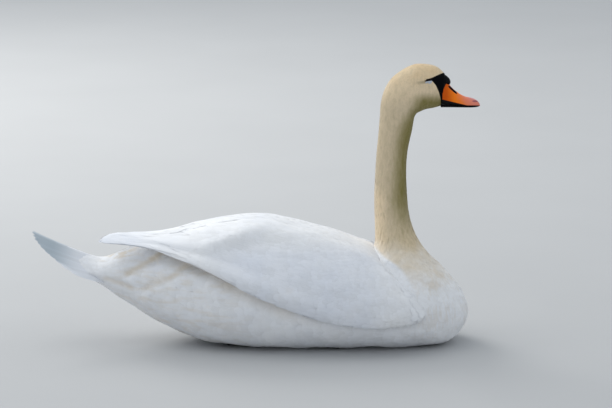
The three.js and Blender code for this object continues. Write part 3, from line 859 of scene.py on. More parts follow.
def mantle_plumage(name, number):
    """Feathers over the middle of the back, which close the gap between the wings."""
    coat = Coat(name, number, Mantle())
    all_u, all_v = [], []
    for row, u in enumerate(np.arange(*MANTLE_ROWS)):
        right, left = coat.surface.point(np.full(2, u), np.array([-1.0, 1.0]))
        count = max(2, int(norm(left - right) / MANTLE_GAP))
        all_u.append(u + coat.rng.normal(0, 0.04, count))
        v = -1 + 2 * staggered(count, row)
        all_v.append(np.clip(v + coat.rng.normal(0, 0.1 / count, count), -1, 1))
    u, v = np.concatenate(all_u), np.concatenate(all_v)
    stations, *sizes = MANTLE_FEATHERS.values()
    length, width = (np.interp(u, stations, size) for size in sizes)
    coat.lay(
        u, v, length * coat.vary(1, 0.07, u), width, depth=3.4, lift=0.1,
        turn=coat.vary(0, 0.05, u), roll=coat.vary(0, 0.08, u), loose=0.08,
    )
    return coat.piece()


# The rows of TAIL_BASE between which the tail's coverts grow, and the sizes of these feathers at
# two rows. Behind TAIL_SIDES none grow at the sides, and behind TAIL_UNDER the lower ones lie
# closer.
TAIL_COVERT_ROWS = (0.5, 3.1)
TAIL_COVERTS = dict(rows=(0.5, 3), length=(44, 62), width=(15, 13), depth=(4.5, 3))
TAIL_SIDES, TAIL_UNDER = 1.7, 1.6


def tail_coverts(name, number):
    """Feathers from the rump out over the roots of the tail, above, beside and below it."""
    coat = Coat(name, number, TailBase())
    u, v = ringed_roots(coat, *TAIL_COVERT_ROWS, lambda u: (9.5, 8.0 + 1.2 * u))
    kept = (u < TAIL_SIDES) | (np.abs(np.sin(v)) < 0.8)
    u, v = u[kept], v[kept]
    rows, *sizes = TAIL_COVERTS.values()
    length, width, depth = (np.interp(u, rows, size) for size in sizes)
    coat.lay(
        u, v, length * coat.vary(1, 0.07, u), width, depth,
        lift=np.where((u > TAIL_UNDER) & (np.cos(v) < 0), -2.2, -0.1),
        turn=coat.vary(0, 0.05, u), roll=coat.vary(0, 0.03, u), camber=0.3,
    )
    return coat.piece()


def tail_feathers(name, number):
    """Ten pairs of stiff feathers, each pair under the one inside it."""
    coat = Coat(name, number, TailFan())
    right = np.arange(0.5, TAIL_PAIRS)
    v = np.concatenate([right, -right])
    pair = np.abs(v) - 0.5
    length = TAIL_LENGTH - TAIL_SHORTER[0] * pair - TAIL_SHORTER[1] * pair**2
    swing = -follow(pair, TAIL_PARTING) * np.sign(v)
    coat.lay(
        np.zeros(len(v)), v, length * coat.vary(0.99, 0.012, v), width=26, depth=0.4,
        shape=FLIGHT, lift=0.5, turn=swing, roll=-0.7 * np.sign(v), camber=0.8, thick=0.7,
        loose=0.12,
    )
    return coat.piece()


# ------------------------------------------------------------------ skin
# The grids of the skins: rows along, and points across.
BODY_SKIN_GRID, WING_SKIN_GRID = (360, 144), (60, 28)
SKIN_THICKNESS = 2.8
# The stations and shares of a wing that its skin covers.
WING_SKIN_STATIONS, WING_SKIN_SHARES = (1.3, 12.6), (0.03, 0.97)
EYELID_POINTS = 72


def body_skin():
    """The skin under the coat; where it is bare, it lies almost at the surface."""
    rows, around = BODY_SKIN_GRID
    u = np.linspace(0, body.u_range[1], rows)[:, None]
    u, v = np.broadcast_arrays(u, full_turn(around))
    at = body.point(u, v)
    lore = lore_share(at)
    depth = plumage(u)[4] * (1 - lore) + 0.3 * lore
    at = at + body.slopes(u, v)[2] * (body.relief(u, v, at) - depth)[..., None]
    off_the_floor(at)
    at[..., 2] = np.maximum(at[..., 2], SKIN_FLOOR_GAP)
    return at, stack(0.02 + 0.94 * v / TURN, 0.02 + 0.6 * u / u.max())


def wing_skin(wing, column):
    """A thin closed shell in the middle of a wing, from its shoulder to the base of its tip."""
    rows, across = WING_SKIN_GRID
    share = np.linspace(*WING_SKIN_SHARES, across)
    u = np.linspace(*WING_SKIN_STATIONS, rows)[:, None]
    v, inside = np.concatenate([share, share[::-1]]), np.repeat([0, 1], across)
    u, v, inside = np.broadcast_arrays(u, v, inside)
    thick = wing.row(u)[..., 7]
    at = wing.point(u, v)
    sunk = np.minimum(SKIN_THICKNESS, 0.4 * thick) - wing.relief(u, v, at)
    outer = at - wing.slopes(u, v)[2] * sunk[..., None]
    inner = wing.point(u, v, np.maximum(0.9 - SKIN_THICKNESS / thick, (sunk + 1.5) / thick))
    uv = stack(0.02 + 0.48 * column + 0.46 * (v + inside) / 2, 0.66 + 0.3 * u / WING_TIP)
    return np.where(inside[..., None] == 0, outer, inner), uv


def nearest_on_body(x, y, z):
    """The body's surface closest to each point, starting the search at the crown's side."""
    u = np.full(np.shape(x), body.knot("crown"))
    v = math.pi / 2 * np.sign(y)
    target = stack(x, y, z)
    at = body.point(u, v)
    for _ in range(12):
        u, v = body.moved(u, v, body.slopes(u, v), 0.8 * (target - at))
        at = body.point(u, v)
    return at


def eyelids(side):
    """The lids: rings from the edge of the eye's opening out to the skin of the head."""
    angle = full_turn(EYELID_POINTS)
    across, up = np.cos(angle), np.sin(angle)
    wide, high = EYE_OPENING["half"]
    middle_x, middle_z = EYE_OPENING["middle"]
    normal = unit(stack(across / wide, up / high))
    rings = []
    for out, over, under in EYELID_RINGS:
        x, z = wide * across + normal[:, 0] * out, high * up + normal[:, 1] * out
        x, z = x + middle_x, z + EYE_OPENING["tilt"] * x + middle_z
        y = np.sqrt(np.maximum((EYE_RADIUS + over) ** 2 - x**2 - z**2, 0.01)) + EYE[1]
        x, z = x + EYE[0], z + EYE[2]
        if out > 0:
            head = nearest_on_body(x, side * 30 + 0 * x, z)[:, 1] * side - under
            y = (y + head + np.sqrt((y - head) ** 2 + 0.3)) / 2
        rings.append(stack(x, side * y, z))
    return np.array(rings)


def make_skin():
    shells = [body_skin(), *(wing_skin(wing, i) for i, wing in enumerate(wings.values()))]
    parts, uvs = [tube(rings) for rings, _ in shells], [uv for _, uv in shells]
    for column, side in enumerate(SIDES.values()):
        rings = eyelids(side)
        count, around = rings.shape[:2]
        quads = grid_faces(count, around)
        parts.append((rings.reshape(-1, 3), [quads if side > 0 else quads[:, ::-1]]))
        out, turn = np.linspace(0, 0.03, count)[:, None], np.linspace(0, 0.9, around)
        uvs.append(stack(0.965 + out, 0.02 + 0.3 * column + 0.3 * turn))
    return make_mesh("skin", *joined(parts), np.concatenate([uv.reshape(-1, 2) for uv in uvs]))


# ------------------------------------------------------------------ bill
# Stations of each half of the bill, as (x, height of its top, height of its bottom, half-width).
UPPER_BILL = (
    (286, 552, 491.5, 16.5), (296, 538, 491, 16), (305, 526.5, 490.3, 15.6),
    (314, 518, 489.7, 15.4), (324, 511, 489.2, 15.8), (335, 506, 488.8, 16.4),
    (346, 503.2, 488.3, 16.4), (354, 500, 487.9, 14.6), (360, 495.5, 487.6, 11),
    (363.3, 490.5, 487.4, 5),
)
LOWER_BILL = (
    (284, 491, 485, 14.5), (300, 490.4, 485, 14), (318, 489.3, 485, 14.2),
    (338, 488.5, 485, 15), (350, 487.9, 485.2, 13.4), (357, 487.5, 485.6, 9),
    (361, 487.3, 486, 3.5),
)
# How high the cutting edge lies in a half of the bill, as a share, and how square its sides are.
BILL_EDGE = 0.12
BILL_SQUARENESS = 0.8
NOSTRIL = dict(middle=(307.6, 521.2), half=(11.2, 2.4), tilt=math.radians(-42), depth=3.8)
NOSTRIL_LIP = 0.35
KNOB = dict(middle=(288, 541), half=(17.0, 10.7, 10.5), tilt=math.radians(30))
NAIL = dict(middle=349, length=15, half=8.5, proud=0.35, groove=0.45)
BILL_INSET = 0.35


def bill_half(stations, dome, hanging, rows, around):
    """Rings of points over the upper bill, or over the lower one, which hangs from its edge."""
    row = smooth_rows([s[0] for s in stations], [s[1:] for s in stations])
    share = np.sin(np.linspace(0, math.pi / 2, rows))[:, None]
    x = stations[0][0] + (stations[-1][0] - stations[0][0]) * share
    x, angle = np.broadcast_arrays(x, full_turn(around))
    top, bottom, half = split(row(x))
    up = signed_power(np.sin(angle), dome)
    share = np.where(up >= 0, BILL_EDGE + (1 - BILL_EDGE) * up, BILL_EDGE * (1 + up))
    share = 1 - share if hanging else share
    out = signed_power(np.cos(angle), BILL_SQUARENESS) * half
    return stack(x, out, bottom + (top - bottom) * share)


def upper_bill():
    """The upper bill, with its nostrils sunk in and the nail raised at its tip."""
    at = bill_half(UPPER_BILL, dome=1.18, hanging=False, rows=150, around=128)
    normal = unit(np.cross(np.gradient(at, axis=1), np.gradient(at, axis=0)))
    normal *= np.sign(dot(normal, at - at.mean(axis=1, keepdims=True)))[..., None]
    x, y, z = split(at)
    middle_x, middle_z = NOSTRIL["middle"]
    long, high = turned(x - middle_x, z - middle_z, NOSTRIL["tilt"])
    reach = np.hypot(long / NOSTRIL["half"][0], high / NOSTRIL["half"][1])
    nostril = NOSTRIL_LIP * bell((reach - 1.35) / 0.3)
    nostril = (nostril - NOSTRIL["depth"] * smoothstep(reach, 1.15, 0.35)) * (np.abs(y) > 3)
    off_nail = np.hypot((x - NAIL["middle"]) / NAIL["length"], y / NAIL["half"])
    nail = NAIL["proud"] * smoothstep(off_nail, 1, 0.82)
    nail = (nail - NAIL["groove"] * bell((off_nail - 1.05) / 0.07)) * (z > 490)
    return at + normal * (nostril + nail - BILL_INSET)[..., None]


def ball(rows, around, gap):
    """Rings of points about the x axis, over a ball of radius 1 with a gap at its poles."""
    rise, turn = np.linspace(gap, math.pi - gap, rows)[:, None], full_turn(around)
    return stack(np.cos(rise), np.sin(rise) * np.cos(turn), np.sin(rise) * np.sin(turn))


def knob():
    x, y, z = split(ball(rows=48, around=64, gap=0.02) * KNOB["half"])
    x, z = turned(x, z, KNOB["tilt"])
    return stack(KNOB["middle"][0] + x, y, KNOB["middle"][1] + z)


def eyeball(side):
    centre = np.array(EYE) * (1, side, 1)
    return ball(rows=32, around=48, gap=0.01)[..., [1, 0, 2]] * (EYE_RADIUS - 0.4) + centre


# ------------------------------------------------------------------ legs and feet
def rod(path, radii, around, flat, floor):
    """Rings round a path, with a radius at each point of it, and no lower than the floor."""
    along = unit(np.gradient(path, axis=0))
    side = unit(np.cross(UP, along))
    up = np.cross(along, side)
    angle, radii = full_turn(around)[:, None], radii[:, None, None]
    rings = side[:, None] * (np.cos(angle) * radii * flat) + up[:, None] * (np.sin(angle) * radii)
    rings += path[:, None]
    rings[..., 2] = np.maximum(rings[..., 2], floor)
    return rings


def shank(side):
    share = np.linspace(0, 1, 40)
    path = LEG_HEEL + np.subtract(LEG_ANKLE, LEG_HEEL) * share[:, None]
    swell = 1 + 0.25 * np.abs(2 * share - 1) ** 4
    radii = (LEG_RADII[0] + (LEG_RADII[1] - LEG_RADII[0]) * share) * swell - 0.2
    radii[:2] *= (0.55, 0.85)
    return rod(path * (1, side, 1), radii, around=32, flat=0.85, floor=0.1)


def toes(side):
    """Three toes with their joints."""
    share = np.linspace(0, 1, 48)
    for tip, radius in TOES:
        x, y = split(FOOT_ANKLE + (tip - FOOT_ANKLE) * share[:, None])
        width = radius * (1 - 0.4 * share**2) * (1 + 0.14 * np.cos(share * 2 * TURN))
        path = stack(x, y * side, width * 0.85)
        yield rod(path, width, around=20, flat=0.96, floor=0.05)


def webs(side):
    """The folded web between each toe and the next."""
    along, across = np.linspace(0.03, 1, 36)[:, None], np.linspace(0, 1, 24)
    for (one, _), (other, _) in zip(TOES, TOES[1:]):
        edge = stack(*(a * (1 - across) + b * across for a, b in zip(one, other)))
        reach = along * (1 - 0.085 * np.sin(math.pi * across)) * 0.985
        x, y = split(FOOT_ANKLE + (edge - FOOT_ANKLE) * reach[..., None])
        fold = 0.5 * np.sin(across * TURN * WEB_FOLDS) * np.sin(math.pi * across) * along
        top = stack(x, y * side, WEB_HEIGHT + fold)
        yield np.concatenate([top, (top - WEB_THICKNESS * UP)[:, ::-1]], axis=1)


def claws(side):
    share = np.linspace(0, 1, 14)
    for tip, radius in TOES:
        ahead = share[:, None] * CLAW_LENGTH - CLAW_ROOT
        x, y = split(tip + unit(tip - FOOT_ANKLE) * ahead)
        width = radius * 0.62 * np.sqrt(1 - 0.96 * share)
        height = width * 0.8 + 2.4 * np.sin(share * 2.2) * (1 - share)
        yield rod(stack(x, y * side, height), width, around=14, flat=0.9, floor=0.05)


# ------------------------------------------------------------------ materials
def math_node(operation, reflected=False):
    """A method of Wire that adds one Math node."""
    def method(self, other=0.5):
        first, second = (other, self) if reflected else (self, other)
        return self.finish.node("ShaderNodeMath", {"operation": operation}, {0: first, 1: second})
    return method


class Wire:
    """A socket of a material, with arithmetic that adds Math nodes."""

    def __init__(self, finish, socket):
        self.finish, self.socket = finish, socket

    __add__ = __radd__ = math_node("ADD")
    __sub__, __rsub__ = math_node("SUBTRACT"), math_node("SUBTRACT", True)
    __mul__ = __rmul__ = math_node("MULTIPLY")
    __truediv__, __rtruediv__ = math_node("DIVIDE"), math_node("DIVIDE", True)
    __pow__, __rpow__ = math_node("POWER"), math_node("POWER", True)
    absolute, sine = math_node("ABSOLUTE"), math_node("SINE")
    least, most = math_node("MINIMUM"), math_node("MAXIMUM")

    def step(self, low, high):
        """0 below low and 1 above high, with a smooth rise between; low may be the higher."""
        return self.finish.node(
            "ShaderNodeMapRange", {"interpolation_type": "SMOOTHSTEP"}, {0: self, 1: low, 2: high}
        )


class Finish:
    """A material. node() adds any node, from its type, its settings and its inputs."""

    def __init__(self, name, **numbers):
        self.material = bpy.data.materials.new(name)
        self.material.use_nodes = True
        self.tree = self.material.node_tree
        for socket, number in numbers.items():
            self.shader_input(socket).default_value = number
        self.place = self.node("ShaderNodeTexCoord", output="Object")

    def shader_input(self, name):
        return self.tree.nodes["Principled BSDF"].inputs[name.replace("_", " ")]

    def node(self, kind, settings=None, inputs=None, output=0):
        made = self.tree.nodes.new(kind)
        for key, value in (settings or {}).items():
            if key == "stops":
                ramp = made.color_ramp.elements
                while len(ramp) < len(value):
                    ramp.new(1)
                for element, (position, colour) in zip(ramp, value):
                    element.position, element.color = position, (*colour, 1)
            else:
                setattr(made, key, value)
        for key, value in (inputs or {}).items():
            if isinstance(value, Wire):
                self.tree.links.new(value.socket, made.inputs[key])
            elif made.inputs[key].type == "RGBA":
                made.inputs[key].default_value = (*value, 1)
            else:
                made.inputs[key].default_value = value
        return Wire(self, made.outputs[output])

    def parts(self, vector):
        """The x, y and z of a vector."""
        first = self.node("ShaderNodeSeparateXYZ", {}, {0: vector})
        return [Wire(self, output) for output in first.socket.node.outputs]

    @cached_property
    def xyz(self):
        """The place on the object, in millimetres."""
        return [part * 1000 for part in self.parts(self.place)]

    @cached_property
    def height(self):
        """The height that a side view from a little above shows."""
        _, y, z = self.xyz
        return z - y.absolute() * SIGHT_SLANT

    def mix(self, colour, *layers, blend="MIX"):
        """A colour with others laid over it, each by a share from 0 to 1."""
        for over, share in layers:
            colour = self.node(
                "ShaderNodeMix", {"data_type": "RGBA", "blend_type": blend},
                {0: share, 6: colour, 7: over}, output=2,
            )
        return colour

    def noise(self, size, detail, stretch=(1, 1, 1)):
        """Noise with features of about the given size in millimetres, from 0 to 1."""
        stretched = self.node(
            "ShaderNodeVectorMath", {"operation": "MULTIPLY"},
            {0: self.place, 1: tuple(1000 / (size * s) for s in stretch)},
        )
        return self.node(
            "ShaderNodeTexNoise", {}, {"Vector": stretched, "Scale": 1.0, "Detail": detail}
        )

    def curve(self, value, points):
        """A line through (value, result) points, straight between them."""
        (low, _), (high, _) = points[0], points[-1]
        results = [result for _, result in points]
        least, span = min(results), max(results) - min(results)
        stops = [
            ((at - low) / (high - low), ((result - least) / span,) * 3) for at, result in points
        ]
        share = (value - low) * (1 / (high - low))
        return self.node("ShaderNodeValToRGB", {"stops": stops}, {0: share}) * span + least

    def ellipse(self, x, z, middle, half):
        """Below 1 inside an ellipse, and above 1 outside it."""
        return ((x - middle[0]) / half[0]) ** 2 + ((z - middle[1]) / half[1]) ** 2

    def paint(self, colour, relief=None, depth=0.0, **links):
        """Links a colour, a relief with its depth in millimetres, and other inputs."""
        links["Base_Color"] = colour
        if relief:
            links["Normal"] = self.node(
                "ShaderNodeBump", {}, {"Height": relief, "Distance": depth * MM}
            )
        for socket, wire in links.items():
            self.tree.links.new(wire.socket, self.shader_input(socket))
        return self.material


SNOW = (0.86, 0.865, 0.88)
# COOL is a cool tone in random patches, and also painted shade on the wings' lower sides and tips.
COOL = (0.74, 0.77, 0.84)
CREAM = (0.75, 0.615, 0.425)
PALE_CREAM = (0.93, 0.745, 0.51)
BUFF = (0.82, 0.58, 0.31)
# OLIVE is painted shade with a painted green reflection on the front of the neck, and also the
# colour of small dark flecks.
OLIVE = (0.255, 0.215, 0.065)
EYE_SHADE = (0.26, 0.22, 0.14)
# The plumage's own warm staining, also used as painted shade under the wings and in the flanks'
# creases.
STAIN_AND_SHADE = (0.68, 0.57, 0.42)
# The tail's grey is painted shade.
TAIL_SHADE = (0.35, 0.41, 0.46)
FEATHER_ROOT, FEATHER_TIP = (0.88, 0.875, 0.86), (1, 1, 1)
BLACK_SKIN, WORN_BLACK = (0.003, 0.003, 0.004), (0.012, 0.012, 0.015)
LID_GREY = (0.50, 0.53, 0.60)
DEEP_ORANGE, ORANGE = (0.64, 0.095, 0.002), (0.97, 0.22, 0.010)
SALMON, DULL_SALMON = (0.82, 0.25, 0.15), (0.66, 0.21, 0.17)
NAIL_PINK, CREASE_RED = (0.62, 0.25, 0.24), (0.26, 0.08, 0.10)
BLACK_HORN = (0.004, 0.004, 0.005)
PUPIL, IRIS, EYE_RIM = (0.002, 0.002, 0.002), (0.012, 0.006, 0.004), (0.006, 0.004, 0.003)
LEG_BLACK, LEG_GREY = (0.012, 0.013, 0.015), (0.05, 0.052, 0.055)
CLAW_BLACK, CLAW_BROWN = (0.008, 0.008, 0.008), (0.02, 0.019, 0.018)
FLOOR_GREY, PALE_FLOOR = (0.47, 0.475, 0.48), (0.50, 0.505, 0.51)

# Where the cream of the neck gives way to the white of the wing's front, as (height, x).
WING_FRONT = ((60, 250), (110, 238), (145, 216), (160, 201), (177, 176), (206, 150), (230, 120))
# The rear edge of the painted shade and painted green reflection on the front of the neck and
# throat, as (z, x).
THROAT_EDGE = ((200, 183), (246, 178), (300, 171), (420, 179), (455, 188), (495, 214), (560, 224))
# The edge of the black skin at the rear of the bill, as (height, x).
BILL_REAR = ((495, 286.8), (512, 287.0), (520, 288.6), (529, 292.6), (537, 297.6), (545, 301))


def plumage_colour(finish):
    """The colours of skin and coat alike: cream head and neck, white body and stained flanks, with
    painted shade on the front of the neck, behind the eye, under the wings and in the flanks'
    creases.
    """
    x, _, z = finish.xyz
    height = finish.height
    streaks = finish.noise(8, 3, (0.6, 0.6, 3.2))
    patches = finish.noise(40, 3)
    # Painted shade with a painted green reflection darkens the front of the neck and throat;
    # streaks and flecks add the plumage's own darker tone.
    front = (x - finish.curve(z, THROAT_EDGE)).step(0, 36) * height.step(518, 492)
    front = front * z.step(190, 320)
    pale = (z.step(480, 530) * 0.8).most(z.step(340, 290) * x.step(182, 160))
    dark = front * 0.95 + (streaks - 0.45) * 0.45
    flecks = finish.noise(6, 2, (1, 1, 1.8)).step(0.42, 0.72)
    crown = z.step(528, 556) * patches.step(0.3, 0.65)
    # Painted shade behind the eye, in EYE_SHADE.
    behind_eye = (height - 534 - (x - 246) * 0.1).absolute().step(5, 0.5)
    behind_eye = behind_eye * x.step(226, 250) * x.step(262, 254)
    neck = finish.mix(
        CREAM, (PALE_CREAM, pale), (OLIVE, dark.least(1).most(0)), (OLIVE, flecks * 0.13),
        (BUFF, crown * 0.5), (EYE_SHADE, behind_eye * 0.6),
    )
    mottle = (streaks * 0.5 + patches * 0.5).step(0.46, 0.62) * x.step(170, 280)
    lines = finish.noise(15, 3, (3.6, 1.5, 0.8))
    flank = x.step(-40, -190) * x.step(-430, -360) * lines.step(0.42, 0.72)
    # Painted shadow under the wings' lower edges, together with a warm stain there, fading
    # downwards.
    below_wing = z - finish.curve(x, WING_LINE)
    shade = below_wing.step(-34, -6) * x.step(60, -60) * x.step(-300, -240)
    white = finish.mix(
        SNOW, (COOL, patches.step(0.25, 0.8) * 0.4), (STAIN_AND_SHADE, mottle * 0.25 * z.step(-20, 60)),
        (STAIN_AND_SHADE, (flank * 0.3 + shade * 0.25).least(1)),
    )
    # Painted shade in the flanks' creases, darker where a crease is deeper.
    for (x0, z0), (x1, z1), deep in FLANK_FOLDS:
        length = math.hypot(x1 - x0, z1 - z0)
        ahead, rise = (x1 - x0) / length, (z1 - z0) / length
        along = (x - x0) * ahead + (z - z0) * rise
        across = ((x - x0) * rise - (z - z0) * ahead).absolute()
        crease = across.step(10, 0) * along.step(-8, 4) * along.step(length + 8, length - 4)
        white = finish.mix(white, (STAIN_AND_SHADE, crease * (deep * 0.09)))
    rump = (height - 178 - (x + 372) * 0.2).absolute().step(10, 3) * lines.step(0.4, 0.55)
    rump = rump * x.step(-412, -396) * x.step(-328, -350)
    # The cream fades into white over the root of the neck and the breast, and ends softly
    # before the wing's front.
    fade = (z + (x - 200) * 0.1 + (patches - 0.5) * 90).step(110, 235) * x.step(118, 160)
    before_wing = (x - finish.curve(height, WING_FRONT)).step(-15, -1)
    return finish.mix(white, (STAIN_AND_SHADE, rump * 0.55), (neck, fade * before_wing))


def wing_colour(finish):
    """White wings, cooler in random patches, with painted shade that cools the wings' lower sides
    and tips and greys the tail.
    """
    x, y, _ = finish.xyz
    side = y.absolute()
    patches = finish.noise(60, 3)
    # Painted shade: the lower side of each wing and the wing tips turn cool.
    low = (finish.height + (patches - 0.5) * 40).step(214, 172)
    low = low * x.step(-190, -110) * x.step(185, 120)
    cool_tone_and_shade = patches.step(0.3, 0.75) * 0.35 + low.most(x.step(-280, -360)) * 0.55
    stain = finish.noise(38, 4).step(0.6, 0.8)
    # Painted shade that greys the tail, strongest towards its tip.
    tail = x.step(-432, -508) * side.step(-40, 10) * side.step(66, 54)
    return finish.mix(SNOW, (COOL, cool_tone_and_shade.least(1)), (STAIN_AND_SHADE, stain * 0.1), (TAIL_SHADE, tail * 0.95))


def feather_finish(name, colour_of, barb):
    """Feathers with a shaft and barbs, each a little lighter or darker than its neighbours."""
    finish = Finish(name, Roughness=0.72, IOR=1.45, Specular_IOR_Level=0.22, Sheen_Weight=0.12)
    tint = finish.node("ShaderNodeAttribute", {"attribute_name": "tint"}, output="Fac")
    across, along, _ = finish.parts(finish.node("ShaderNodeUVMap", {"uv_map": "Vane"}))
    off_shaft = (across - 0.5).absolute()
    shade = finish.mix(FEATHER_ROOT, (FEATHER_TIP, (tint * 0.7 + along * 0.5).least(1)))
    barbs = ((along * 46 - off_shaft * 30) * TURN).sine() * 0.5 + 0.5
    relief = barbs * 0.35 + off_shaft.step(0.045, 0.0) * 1.2 + finish.noise(2.2, 2) * 0.5
    colour = finish.mix(colour_of(finish), (shade, 0.8), blend="MULTIPLY")
    return finish.paint(colour, relief, barb)


def skin_finish():
    finish = Finish("skin", IOR=1.45, Specular_IOR_Level=0.03)
    x, _, z = finish.xyz
    behind, top = finish.curve(finish.height, LORE_REAR), finish.curve(x, LORE_TOP)
    lore = (x - behind).step(-0.9, 0.5) * (finish.height - top).step(0.9, -0.4)
    lore = lore * z.step(BILL_FROM, BILL_FROM + 10)
    head = z.step(EYE_FROM, EYE_FROM + 10)
    dx = x - EYE[0]
    dz = z - EYE[2] - dx * EYE_OPENING["tilt"]
    upper = finish.ellipse(dx, dz - 0.4, EYE_OPENING["middle"], (9.6, 3.1)).step(1.3, 0.8)
    lower = finish.ellipse(dx, dz, LOWER_LID["middle"], LOWER_LID["half"]).step(1.15, 0.8)
    lower = lower * (dz - EYE_OPENING["middle"][1]).step(-1.2, -2.2)
    black = lore.most(upper * head)
    colour = finish.mix(plumage_colour(finish), (BLACK_SKIN, black), (LID_GREY, lower * head))
    grain = finish.noise(1.6, 3)
    roughness = 0.75 - lore.most(upper.most(lower) * head) * 0.3 + (grain - 0.5) * 0.1
    return finish.paint(colour, grain, 0.12, Roughness=roughness)


def bill_finish():
    """Orange horn that turns to salmon towards its tip, with black edges and nostrils."""
    finish = Finish("bill_horn", IOR=1.5, Specular_IOR_Level=0.1)
    x, y, z = finish.xyz
    side, height = y.absolute(), finish.height
    patches = finish.noise(14, 3)
    orange = (x + (patches - 0.5) * 16).step(292, 314)
    salmon = (x + (z - 500) * 0.5 + (patches - 0.5) * 14).step(314, 346)
    nail = finish.ellipse(x, y, (NAIL["middle"], 0), (NAIL["length"], NAIL["half"])).step(1.1, 0.8)
    nail = nail * x.step(338, 342) * z.step(489, 492)
    crease = finish.ellipse(x, height, (353, 496.4), (6.5, 2.2)).step(1.3, 0.4) * side.step(1, 3)
    base = (x - finish.curve(height, BILL_REAR)).step(0.5, -0.5)
    rim = (height - (499.5 - (x - 288) * 0.245).most(487.6)).step(0.5, -0.4)
    middle_x, middle_z = NOSTRIL["middle"]
    long, high = turned(x - middle_x, z - middle_z, NOSTRIL["tilt"])
    nostril = finish.ellipse(long, high, (0, 0), NOSTRIL["half"])
    black = base.most(rim).most(nostril.step(1.35, 0.95) * side.step(0.8, 1.8))
    colour = finish.mix(
        DEEP_ORANGE, (ORANGE, orange), (finish.mix(SALMON, (DULL_SALMON, patches)), salmon),
        (NAIL_PINK, nail * 0.8), (CREASE_RED, crease * 0.8), (BLACK_HORN, black),
    )
    grain = finish.noise(2.5, 4) * 0.5 + finish.noise(0.7, 2) * 0.3
    return finish.paint(colour, grain, 0.22, Roughness=0.36 + patches * 0.14 + black * 0.06)


def black_finish():
    finish = Finish("black_horn", IOR=1.5, Specular_IOR_Level=0.05)
    grain = finish.noise(1.8, 4)
    colour = finish.mix(BLACK_SKIN, (WORN_BLACK, grain.step(0.4, 0.7)))
    return finish.paint(colour, grain, 0.3, Roughness=0.38 + grain * 0.2)


def eye_finish():
    """A wet eye: a pupil, a dark iris and a darker rim."""
    finish = Finish("wet_eye", Roughness=0.14, IOR=1.4, Specular_IOR_Level=0.2, Coat_Weight=0.15)
    x, _, z = finish.xyz
    off = ((x - EYE[0]) ** 2 + (z - EYE[2]) ** 2) ** 0.5
    return finish.paint(
        finish.mix(PUPIL, (IRIS, off.step(3.2, 3.8)), (EYE_RIM, off.step(5.6, 7.0)))
    )


def scale_finish(name, dark, pale, scale):
    """Leathery skin with small plates."""
    finish = Finish(name, Roughness=0.55, IOR=1.45, Specular_IOR_Level=0.35)
    edge = finish.node(
        "ShaderNodeTexVoronoi", {"feature": "DISTANCE_TO_EDGE"},
        {"Vector": finish.place, "Scale": 1000 / scale},
    ).step(0.0, 0.09)
    colour = finish.mix(dark, (pale, edge * 0.5 + finish.noise(12, 3) * 0.6))
    relief = edge + finish.noise(1.0, 2) * 0.3
    return finish.paint(colour, relief, 0.35, Roughness=0.5 + finish.noise(6, 2) * 0.2)


def floor_finish():
    finish = Finish("studio_floor", Roughness=0.9, Specular_IOR_Level=0.1)
    return finish.paint(finish.mix(FLOOR_GREY, (PALE_FLOOR, finish.noise(400, 2))))


# ------------------------------------------------------------------ the pieces
finishes = {
    "plumage": feather_finish("plumage", plumage_colour, 0.1),
    "wing": feather_finish("wing_plumage", wing_colour, 0.14),
    "skin": skin_finish(),
    "bill": bill_finish(),
    "black": black_finish(),
    "eye": eye_finish(),
    "leg": scale_finish("leg_scales", LEG_BLACK, LEG_GREY, 3.2),
    "claw": scale_finish("claw_horn", CLAW_BLACK, CLAW_BROWN, 6),
}
NECK = ("neck_upper", "neck_middle", "neck_lower")
# The coat of the body: a piece, the number of its random draws, its first and last station,
# its feathers, its record slot and the solid nodes that it stands for.
BODY_COAT = (
    ("plumage_face", 7, "face", "cheek", TUFT, "cream_plumage", "head"),
    ("plumage_head", 1, "cheek", "nape", TUFT, "cream_plumage", "head"),
    ("plumage_neck", 2, "nape", "neck_root", TUFT, "cream_plumage", *NECK),
    ("plumage_breast", 3, "neck_root", "mid_breast", CONTOUR, "white_plumage", "breast"),
    ("plumage_low_breast", 9, "mid_breast", "keel", CONTOUR, "white_plumage", "breast"),
    ("plumage_trunk", 4, "keel", "hips", CONTOUR, "white_plumage", "trunk"),
    ("plumage_rump", 5, "hips", "under_tail_tip", CONTOUR, "white_plumage", "rump"),
)


def keep(piece, finish, slot, *nodes):
    """Gives a piece its finish and has it stand for solid nodes; slot is not used."""
    piece.data.materials.append(finishes[finish])
    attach(piece, "root")
    if nodes:
        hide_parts(*nodes)


keep(make_skin(), "skin", "cream_plumage", "head", *NECK, "breast", "trunk", "rump")
for name, number, first, last, shape, slot, *nodes in BODY_COAT:
    keep(body_plumage(name, number, first, last, shape), "plumage", slot, *nodes)
for number, (name, wing) in enumerate(wings.items()):
    coverts = wing_coverts(f"coverts_{name}", 10 + number, wing)
    keep(coverts, "wing", "white_plumage", f"wing_{name}")
    feathers = flight_feathers(f"flight_feathers_{name}", 20 + number, wing)
    keep(feathers, "wing", "white_plumage", f"primaries_{name}")
keep(mantle_plumage("plumage_mantle", 6), "wing", "white_plumage")
keep(tail_coverts("tail_coverts", 8), "plumage", "white_plumage", "rump")
keep(tail_feathers("tail_feathers", 30), "wing", "white_plumage", "tail")

keep(make_solid("bill_upper_horn", upper_bill()), "bill", "orange_bill", "bill_upper")
lower_bill = bill_half(LOWER_BILL, dome=0.9, hanging=True, rows=60, around=96)
keep(make_solid("bill_lower_horn", lower_bill), "black", "black_bill", "bill_lower")
keep(make_solid("knob_skin", knob()), "black", "black_bill", "bill_knob")
for name, side in SIDES.items():
    keep(make_solid(f"eyeball_{name}", eyeball(side)), "eye", "dark_eye", f"eye_{name}")
    keep(make_solid(f"shank_{name}", shank(side)), "leg", "grey_leg", f"leg_{name}")
    foot = make_solid(f"webbed_foot_{name}", *toes(side), *webs(side))
    keep(foot, "leg", "grey_leg", f"foot_{name}")
    keep(make_solid(f"claws_{name}", *claws(side)), "claw", "grey_leg")

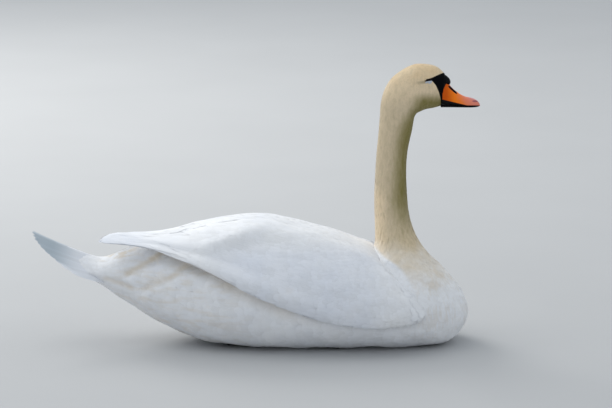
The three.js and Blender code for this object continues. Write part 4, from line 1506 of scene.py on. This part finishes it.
# ------------------------------------------------------------------ studio, in metres
FLOOR_RADIUS = 14
WARM_WHITE = (1, 0.985, 0.955)
SKY, SKY_STRENGTH = (0.88, 0.94, 1.0, 1), 0.77
# Soft round lights: where they stand, their size and their power.
LIGHTS = {"overhead": ((-2.4, 1.2, 4.0), 6.0, 82), "back": ((-2.2, 3.2, 2.6), 2.4, 84)}
LIGHT_AIM = (0, 0, 0.25)
# The camera looks at the bird's right side from a little above, and VIEW_WIDTH is how much it
# sees there. The film's width is in millimetres.
CAMERA_AIM = Vector((0.01228, 0, 0.28467))
CAMERA_DISTANCE, CAMERA_RISE = 6.9, math.radians(12)
VIEW_WIDTH, FILM_WIDTH = 1.24237, 36

turn = full_turn(96)
disc = stack(np.cos(turn), np.sin(turn), 0) * FLOOR_RADIUS / MM
floor = make_mesh("floor", disc, [np.arange(len(turn))[None]])
floor.data.materials.append(floor_finish())


def stand(name, data, place, aim):
    """Puts up a light or a camera that points at its aim."""
    thing = bpy.data.objects.new(name, data)
    thing.location = place
    thing.rotation_euler = (Vector(aim) - Vector(place)).to_track_quat("-Z", "Y").to_euler()
    bpy.context.scene.collection.objects.link(thing)
    return thing


for name, (place, size, power) in LIGHTS.items():
    light = bpy.data.lights.new(name, "AREA")
    light.shape, light.size, light.energy, light.color = "DISK", size, power, WARM_WHITE
    stand(name, light, place, LIGHT_AIM)
camera = bpy.data.cameras.new("camera")
camera.sensor_width = FILM_WIDTH
camera.lens = FILM_WIDTH * CAMERA_DISTANCE / VIEW_WIDTH
back = Vector((0, -math.cos(CAMERA_RISE), math.sin(CAMERA_RISE)))
scene = bpy.context.scene
scene.camera = stand("camera", camera, CAMERA_AIM + back * CAMERA_DISTANCE, CAMERA_AIM)
scene.view_settings.view_transform = "Standard"
scene.world = bpy.data.worlds.new("studio")
scene.world.use_nodes = True
background = scene.world.node_tree.nodes["Background"]
background.inputs["Color"].default_value = SKY
background.inputs["Strength"].default_value = SKY_STRENGTH

bpy.context.view_layer.update()
